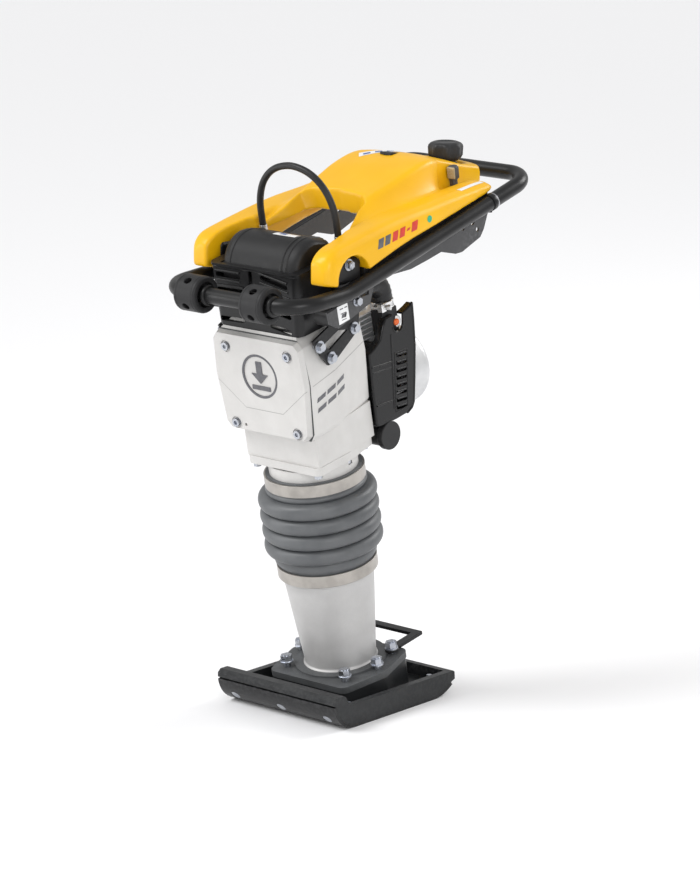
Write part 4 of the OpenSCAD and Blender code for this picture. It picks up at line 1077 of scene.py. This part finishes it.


# badge, painted shade along the folds of the cover and the crankcase, and side marks of the crankcase
markSet = {
    "middle": 660, "face": -102, "depth": (-0.1, 2),
    # badge: ring as (r, h), arrow and bar as (x, s) from its middle
    "ring": [(36.5, 0), (41, 0), (41, 2.2), (36.5, 2.2)],
    "arrow": [(-6.5, 27), (6.5, 27), (6.5, 4), (19, 4), (0, -14), (-19, 4), (-6.5, 4)],
    "bar": [(-21, -18), (21, -18), (21, -26), (-21, -26)],
    # (x, s) of the fold across the cover, and the width of the painted shade laid along it
    "crease": [(-103, 643), (-43, 595.5), (44, 595.5), (104, 645)], "creaseWidth": 1.1, "ahead": -130, "foldShadeLift": 0.12,
    # (y, s) of the painted shade along the fold down each side, and of the slanting bars on the left
    "seam": [(-84, 650), (84, 668), (84, 669.3), (-84, 651.3)],
    "bars": [(0, -6), (24, -1.4), (26, 7), (2, 2.4)], "barStart": (-76, 622), "barStep": (29, 5.4), "rowStep": -19,
    "outside": 150,
}


def makeMarks():
    s = markSet
    bm = drawn((addTurned, s["ring"], facing((0, s["face"] + 2.0, s["middle"]), (0, -1, 0)), 96), bevel=(0.4, 2, 50))
    finishPiece("badge.ring", bm, "inkGrey", "upper_unit", (), leaning)
    low, high = (s["face"] + d for d in s["depth"])
    for key in ("arrow", "bar"):
        outline = [(x, s["middle"] + h) for x, h in s[key]]
        bm = drawn((addPrism, outline, low, high, "front"), bevel=(0.3, 2, 50))
        finishPiece("badge." + key, bm, "inkGrey", "upper_unit", (), leaning)
    cover, case = bpy.data.objects["front_cover.soft"], bpy.data.objects["crankcase.soft"]
    # darker strips along the fold across the cover and the folds down the crankcase's sides: painted shade of the folds
    bm = bmesh.new()
    wide, y = s["creaseWidth"], s["ahead"]
    for (x0, s0), (x1, s1) in zip(s["crease"], s["crease"][1:]):
        addPatch(bm, [(x0, y, s0), (x1, y, s1), (x1, y, s1 + wide), (x0, y, s0 + wide)], 30, 1)
    finishDecal("cover.paintedCreaseShade", bm, "paintedFoldShade", cover, "upper_unit", (0, 1, 0),
                s["foldShadeLift"], leaning)
    for side in (-1, 1):
        bm = drawn((addPatch, [(side * s["outside"], y, h) for y, h in s["seam"]], 40, 1))
        finishDecal("case.seam%d" % side, bm, "paintedFoldShade", case, "upper_unit", (-side, 0, 0),
                    s["foldShadeLift"], leaning)
    bm = bmesh.new()
    for row in range(2):
        for k in range(3):
            y = s["barStart"][0] + s["barStep"][0] * k
            base = s["barStart"][1] + s["rowStep"] * row + s["barStep"][1] * k
            addPatch(bm, [(s["outside"], y + dy, base + h) for dy, h in s["bars"]], 8, 4)
    finishDecal("case.bars", bm, "inkGrey", case, "upper_unit", (-1, 0, 0), 0.25, leaning)


makeMarks()
print("marks made")


# fuel cap
capSet = {
    "place": (38, 252, 952), "lobes": 8, "valley": -0.55,
    # height, radius and depth of the lobes
    "stations": [(4, 18.5, 0), (5, 23, 0.01), (8.5, 27, 0.03), (14, 29.4, 0.06), (29, 30.2, 0.06), (33, 29.4, 0.05),
                 (36, 27, 0.02), (38, 22, 0), (38, 18, 0), (37.2, 17, 0)],
    "skirt": [(12.2, -6), (20.5, -6), (21, -5), (21, 0), (19, 1.5), (13.5, 2.2), (12.6, 4), (12.6, 11), (0, 11),
              (0, 2.4), (12.2, 2.4)],
}


def makeCap():
    place = Vector(capSet["place"])
    sections = []
    for z, r, depth in capSet["stations"]:
        ring = []
        for a in steps(0, 2 * math.pi, 128)[:-1]:
            out = r * (1 + depth * max(capSet["valley"], math.cos(capSet["lobes"] * a)))
            ring.append(place + Vector((out * math.cos(a), out * math.sin(a), z)))
        sections.append(ring)
    bm = drawn((addLoft, sections), (addTurned, capSet["skirt"], Matrix.Translation(place), 64))
    finishPiece("fuel_cap.knob", bm, "capBlack", "cap_body", ["fuel_cap"], sharp=40, weighted=False)


# throttle lever, drawn round its own pivot
leverSet = {
    "pivot": (0.088, 0.218, 0.905), "tilt": 8, "hub": ((-6, 0, 0), (6, 0, 0), 9, 40),
    "blade": [(-6, 0), (6, 0), (7, 24), (12, 32), (13, 44), (8, 52), (-3, 53), (-8, 47), (-8, 30), (-6, 22)],
    "bladeHalf": 4, "thumb": ((-6, -8, 29), (13, 4, 53), 3.5, 4),
    # ribbed pad: plate, then corner, size, steps and counts of the ribs
    "pad": ((-5, -10.5, 30.5), (12, -7, 51.5), 1.6, 3),
    "rib": (-3.6, -11.6, 32.6), "ribSize": (2.7, 1.6, 1.8), "ribStep": (4.0, 3.1), "ribCount": (4, 6),
}


def makeLever():
    s = leverSet
    place = Matrix.Translation(s["pivot"]) @ Matrix.Rotation(math.radians(s["tilt"]), 4, "X")
    bm = drawn((addRod, *s["hub"]), (addPrism, s["blade"], -s["bladeHalf"], s["bladeHalf"], "side"),
               (addBox, *s["thumb"]), bevel=(0.8, 2, 50))
    finishPiece("throttle_lever.blade", bm, "leverGrey", "throttle", ["throttle_lever"], place)
    bm = drawn((addBox, *s["pad"]))
    for row in range(s["ribCount"][1]):
        for column in range(s["ribCount"][0]):
            low = Vector(s["rib"]) + Vector((s["ribStep"][0] * column, 0, s["ribStep"][1] * row))
            addBox(bm, low, low + Vector(s["ribSize"]), 0.5, 2)
    finishPiece("lever_pad.ribs", bm, "padBeige", "throttle", ["lever_pad"], place)


# blocks, rails and bolts that carry the tank, drawn on the right and repeated on the left
mountSet = {
    "block": ((114, 147), (-174, -100), (799, 847), 9, 5),
    # rail between the tank and the climbing tube
    "rail": [(-98, 803), (236, 899), (236, 922), (60, 874), (-98, 826)], "railX": (132, 149),
    # washer, head and end of the bolt: from and to outwards, radii and segments
    "bolt": (147, -136, 834), "boltParts": ((0, 2, 10.5, 40, None), (2, 9, 7.6, 6, None), (9, 10.4, 5.6, 24, 4.6)),
}


def makeMounting():
    s = mountSet
    across, (y0, y1), (z0, z1), bevel, segments = s["block"]
    blocks, bolts = bmesh.new(), bmesh.new()
    for side in (-1, 1):
        x0, x1 = sorted(side * x for x in across)
        addBox(blocks, (x0, y0, z0), (x1, y1, z1), bevel, segments)
        addPrism(blocks, s["rail"], *sorted(side * x for x in s["railX"]), "side")
        x, y, z = s["bolt"]
        for start, end, r, count, r2 in s["boltParts"]:
            addRod(bolts, (side * (x + start), y, z), (side * (x + end), y, z), r, count, r2)
    bmesh.ops.recalc_face_normals(blocks, faces=blocks.faces)
    finishPiece("tank_mounting.block", blocks, "guardBlack", "guide_frame")
    bevelEdges(bolts, 0.5, 2, 40)
    finishPiece("tank_mounting.bolt", bolts, "zinc", "guide_frame")


makeCap()
makeLever()
makeMounting()
print("cap, lever and mounting made")


# labels
labelSet = {
    # slanting bars along the tank's side, first grey and then red: (y, width, height)
    "bars": (("grey", "inkGrey", ((-78, 14, 17), (-60, 14, 17))),
             ("red", "inkRed", ((-40, 14, 17), (-21, 14, 17), (-2, 8, 5), (11, 16, 17)))),
    "barsAt": (-78, 854), "outside": 200, "barsRise": 0.205, "shortLift": 6, "dot": ((200, 61, 889), 6.2),
    # patches dropped onto the tank's top: finish, lift, columns, rows and their corners at one height
    "top": (("tank.strip", "labelWhite", 0.35, 6, 20, 1000, ([(136, 165), (145, 168), (140, 236), (131, 234)],)),
            ("tank.top", "labelWhite", 0.35, 20, 8, 1010, ([(-46, 112), (12, 168), (0, 184), (-60, 128)],)),
            ("tank.topPrint", "inkBlue", 0.6, 6, 4, 1010,
             [[(15 * k + x, 15 * k + y) for x, y in ((-43, 121), (-34, 130), (-40, 136), (-49, 127))]
              for k in range(3)])),
    # sticker on the front plate, as (y, z), and its printed lines: (y, z, width, height)
    "sticker": [(-173, 766), (-146, 770), (-139.5, 740.5), (-166, 734)], "stickerX": (153, 153.4),
    "lines": ((-166, 760, 9, 2), (-154, 762, 7, 2), (-163, 752, 14, 1.6), (-161, 745, 12, 7), (-152.5, 746, 3, 8),
              (-160, 741, 12, 1.4)), "linesX": (153.3, 153.6),
}


def makeLabels():
    s = labelSet
    tank = bpy.data.objects["tank_hood"]
    for name, finish, bars in s["bars"]:
        bm = bmesh.new()
        for y, wide, high in bars:
            z = s["barsAt"][1] + s["barsRise"] * (y - s["barsAt"][0]) + (s["shortLift"] if high < 10 else 0)
            end = z + wide * 0.2
            corners = [(y, z), (y + wide, end), (y + wide + 3, end + high), (y + 3, z + high)]
            addPatch(bm, [(s["outside"], *corner) for corner in corners], 10, 8)
        finishDecal("tank.bars." + name, bm, finish, tank, "guide_frame", (-1, 0, 0), 0.35)
    spot, r = s["dot"]
    bm = bmesh.new()
    bmesh.ops.create_circle(bm, cap_ends=True, segments=40, radius=r, matrix=facing(spot, (1, 0, 0)))
    finishDecal("tank.dot", bm, "inkGreen", tank, "guide_frame", (-1, 0, 0), 0.6)
    for name, finish, lift, columns, rows, z, patches in s["top"]:
        bm = drawn(*((addPatch, [(x, y, z) for x, y in corners], columns, rows) for corners in patches))
        finishDecal(name, bm, finish, tank, "guide_frame", (0, 0, -1), lift)
    bm = drawn((addPrism, s["sticker"], *s["stickerX"], "side"))
    finishPiece("plate.sticker", bm, "labelWhite", "guide_frame")
    bm = bmesh.new()
    for y, z, wide, high in s["lines"]:
        addPrism(bm, [(y, z), (y + wide, z + wide * 0.14), (y + wide + high * 0.2, z + wide * 0.14 + high),
                      (y + high * 0.2, z + high)], *s["linesX"], "side")
    finishPiece("plate.print", bm, "inkGrey", "guide_frame")


makeLabels()
print("labels made")


# floor and lights
studioSet = {
    "floor": 90.0, "floorColor": (0.90, 0.90, 0.91, 1), "floorRough": 0.6, "skyStrength": 0.62,
    # name: (kind, place, aims at, size or angle, power)
    "lights": {
        "key": ("SUN", (-2.0, -3.0, 4.4), (0, 0, 0.5), math.radians(28), 1.7),
        "side": ("AREA", (3.4, -2.2, 1.8), (0, 0, 0.5), 1.6, 50),
        "rim": ("AREA", (1.2, 3.2, 2.6), (0, 0, 0.7), 1.6, 60),
        "front": ("AREA", (-2.6, -2.4, 1.1), (0, 0, 0.6), 1.2, 26),
    },
}


def makeStudio():
    bm = bmesh.new()
    bmesh.ops.create_grid(bm, x_segments=1, y_segments=1, size=studioSet["floor"] / 2)
    floor = meshObject("floor", bm)
    material = bpy.data.materials.new("floorPale")
    material.use_nodes = True
    shader = material.node_tree.nodes["Principled BSDF"]
    shader.inputs["Base Color"].default_value = studioSet["floorColor"]
    shader.inputs["Roughness"].default_value = studioSet["floorRough"]
    floor.data.materials.append(material)
    world = bpy.data.worlds.new("studio")
    world.use_nodes = True
    tree = world.node_tree
    sky = tree.nodes["Background"]
    sky.inputs["Color"].default_value = (1, 1, 1, 1)
    # the backdrop is seen white, and lights the object less
    seen = tree.nodes.new("ShaderNodeLightPath").outputs["Is Camera Ray"]
    tree.links.new(mapRange(tree, seen, 0.0, 1.0, studioSet["skyStrength"], 1.0), sky.inputs["Strength"])
    scene.world = world
    for name, (kind, place, aim, size, power) in studioSet["lights"].items():
        light = bpy.data.lights.new(name, kind)
        light.energy = power
        if kind == "SUN":
            light.angle = size
        else:
            light.size = size
        lamp = bpy.data.objects.new(name, light)
        lamp.location = place
        lamp.rotation_euler = (Vector(aim) - Vector(place)).to_track_quat("-Z", "Y").to_euler()
        scene.collection.objects.link(lamp)
    scene.view_settings.view_transform = "Standard"


makeStudio()
print("studio lit")
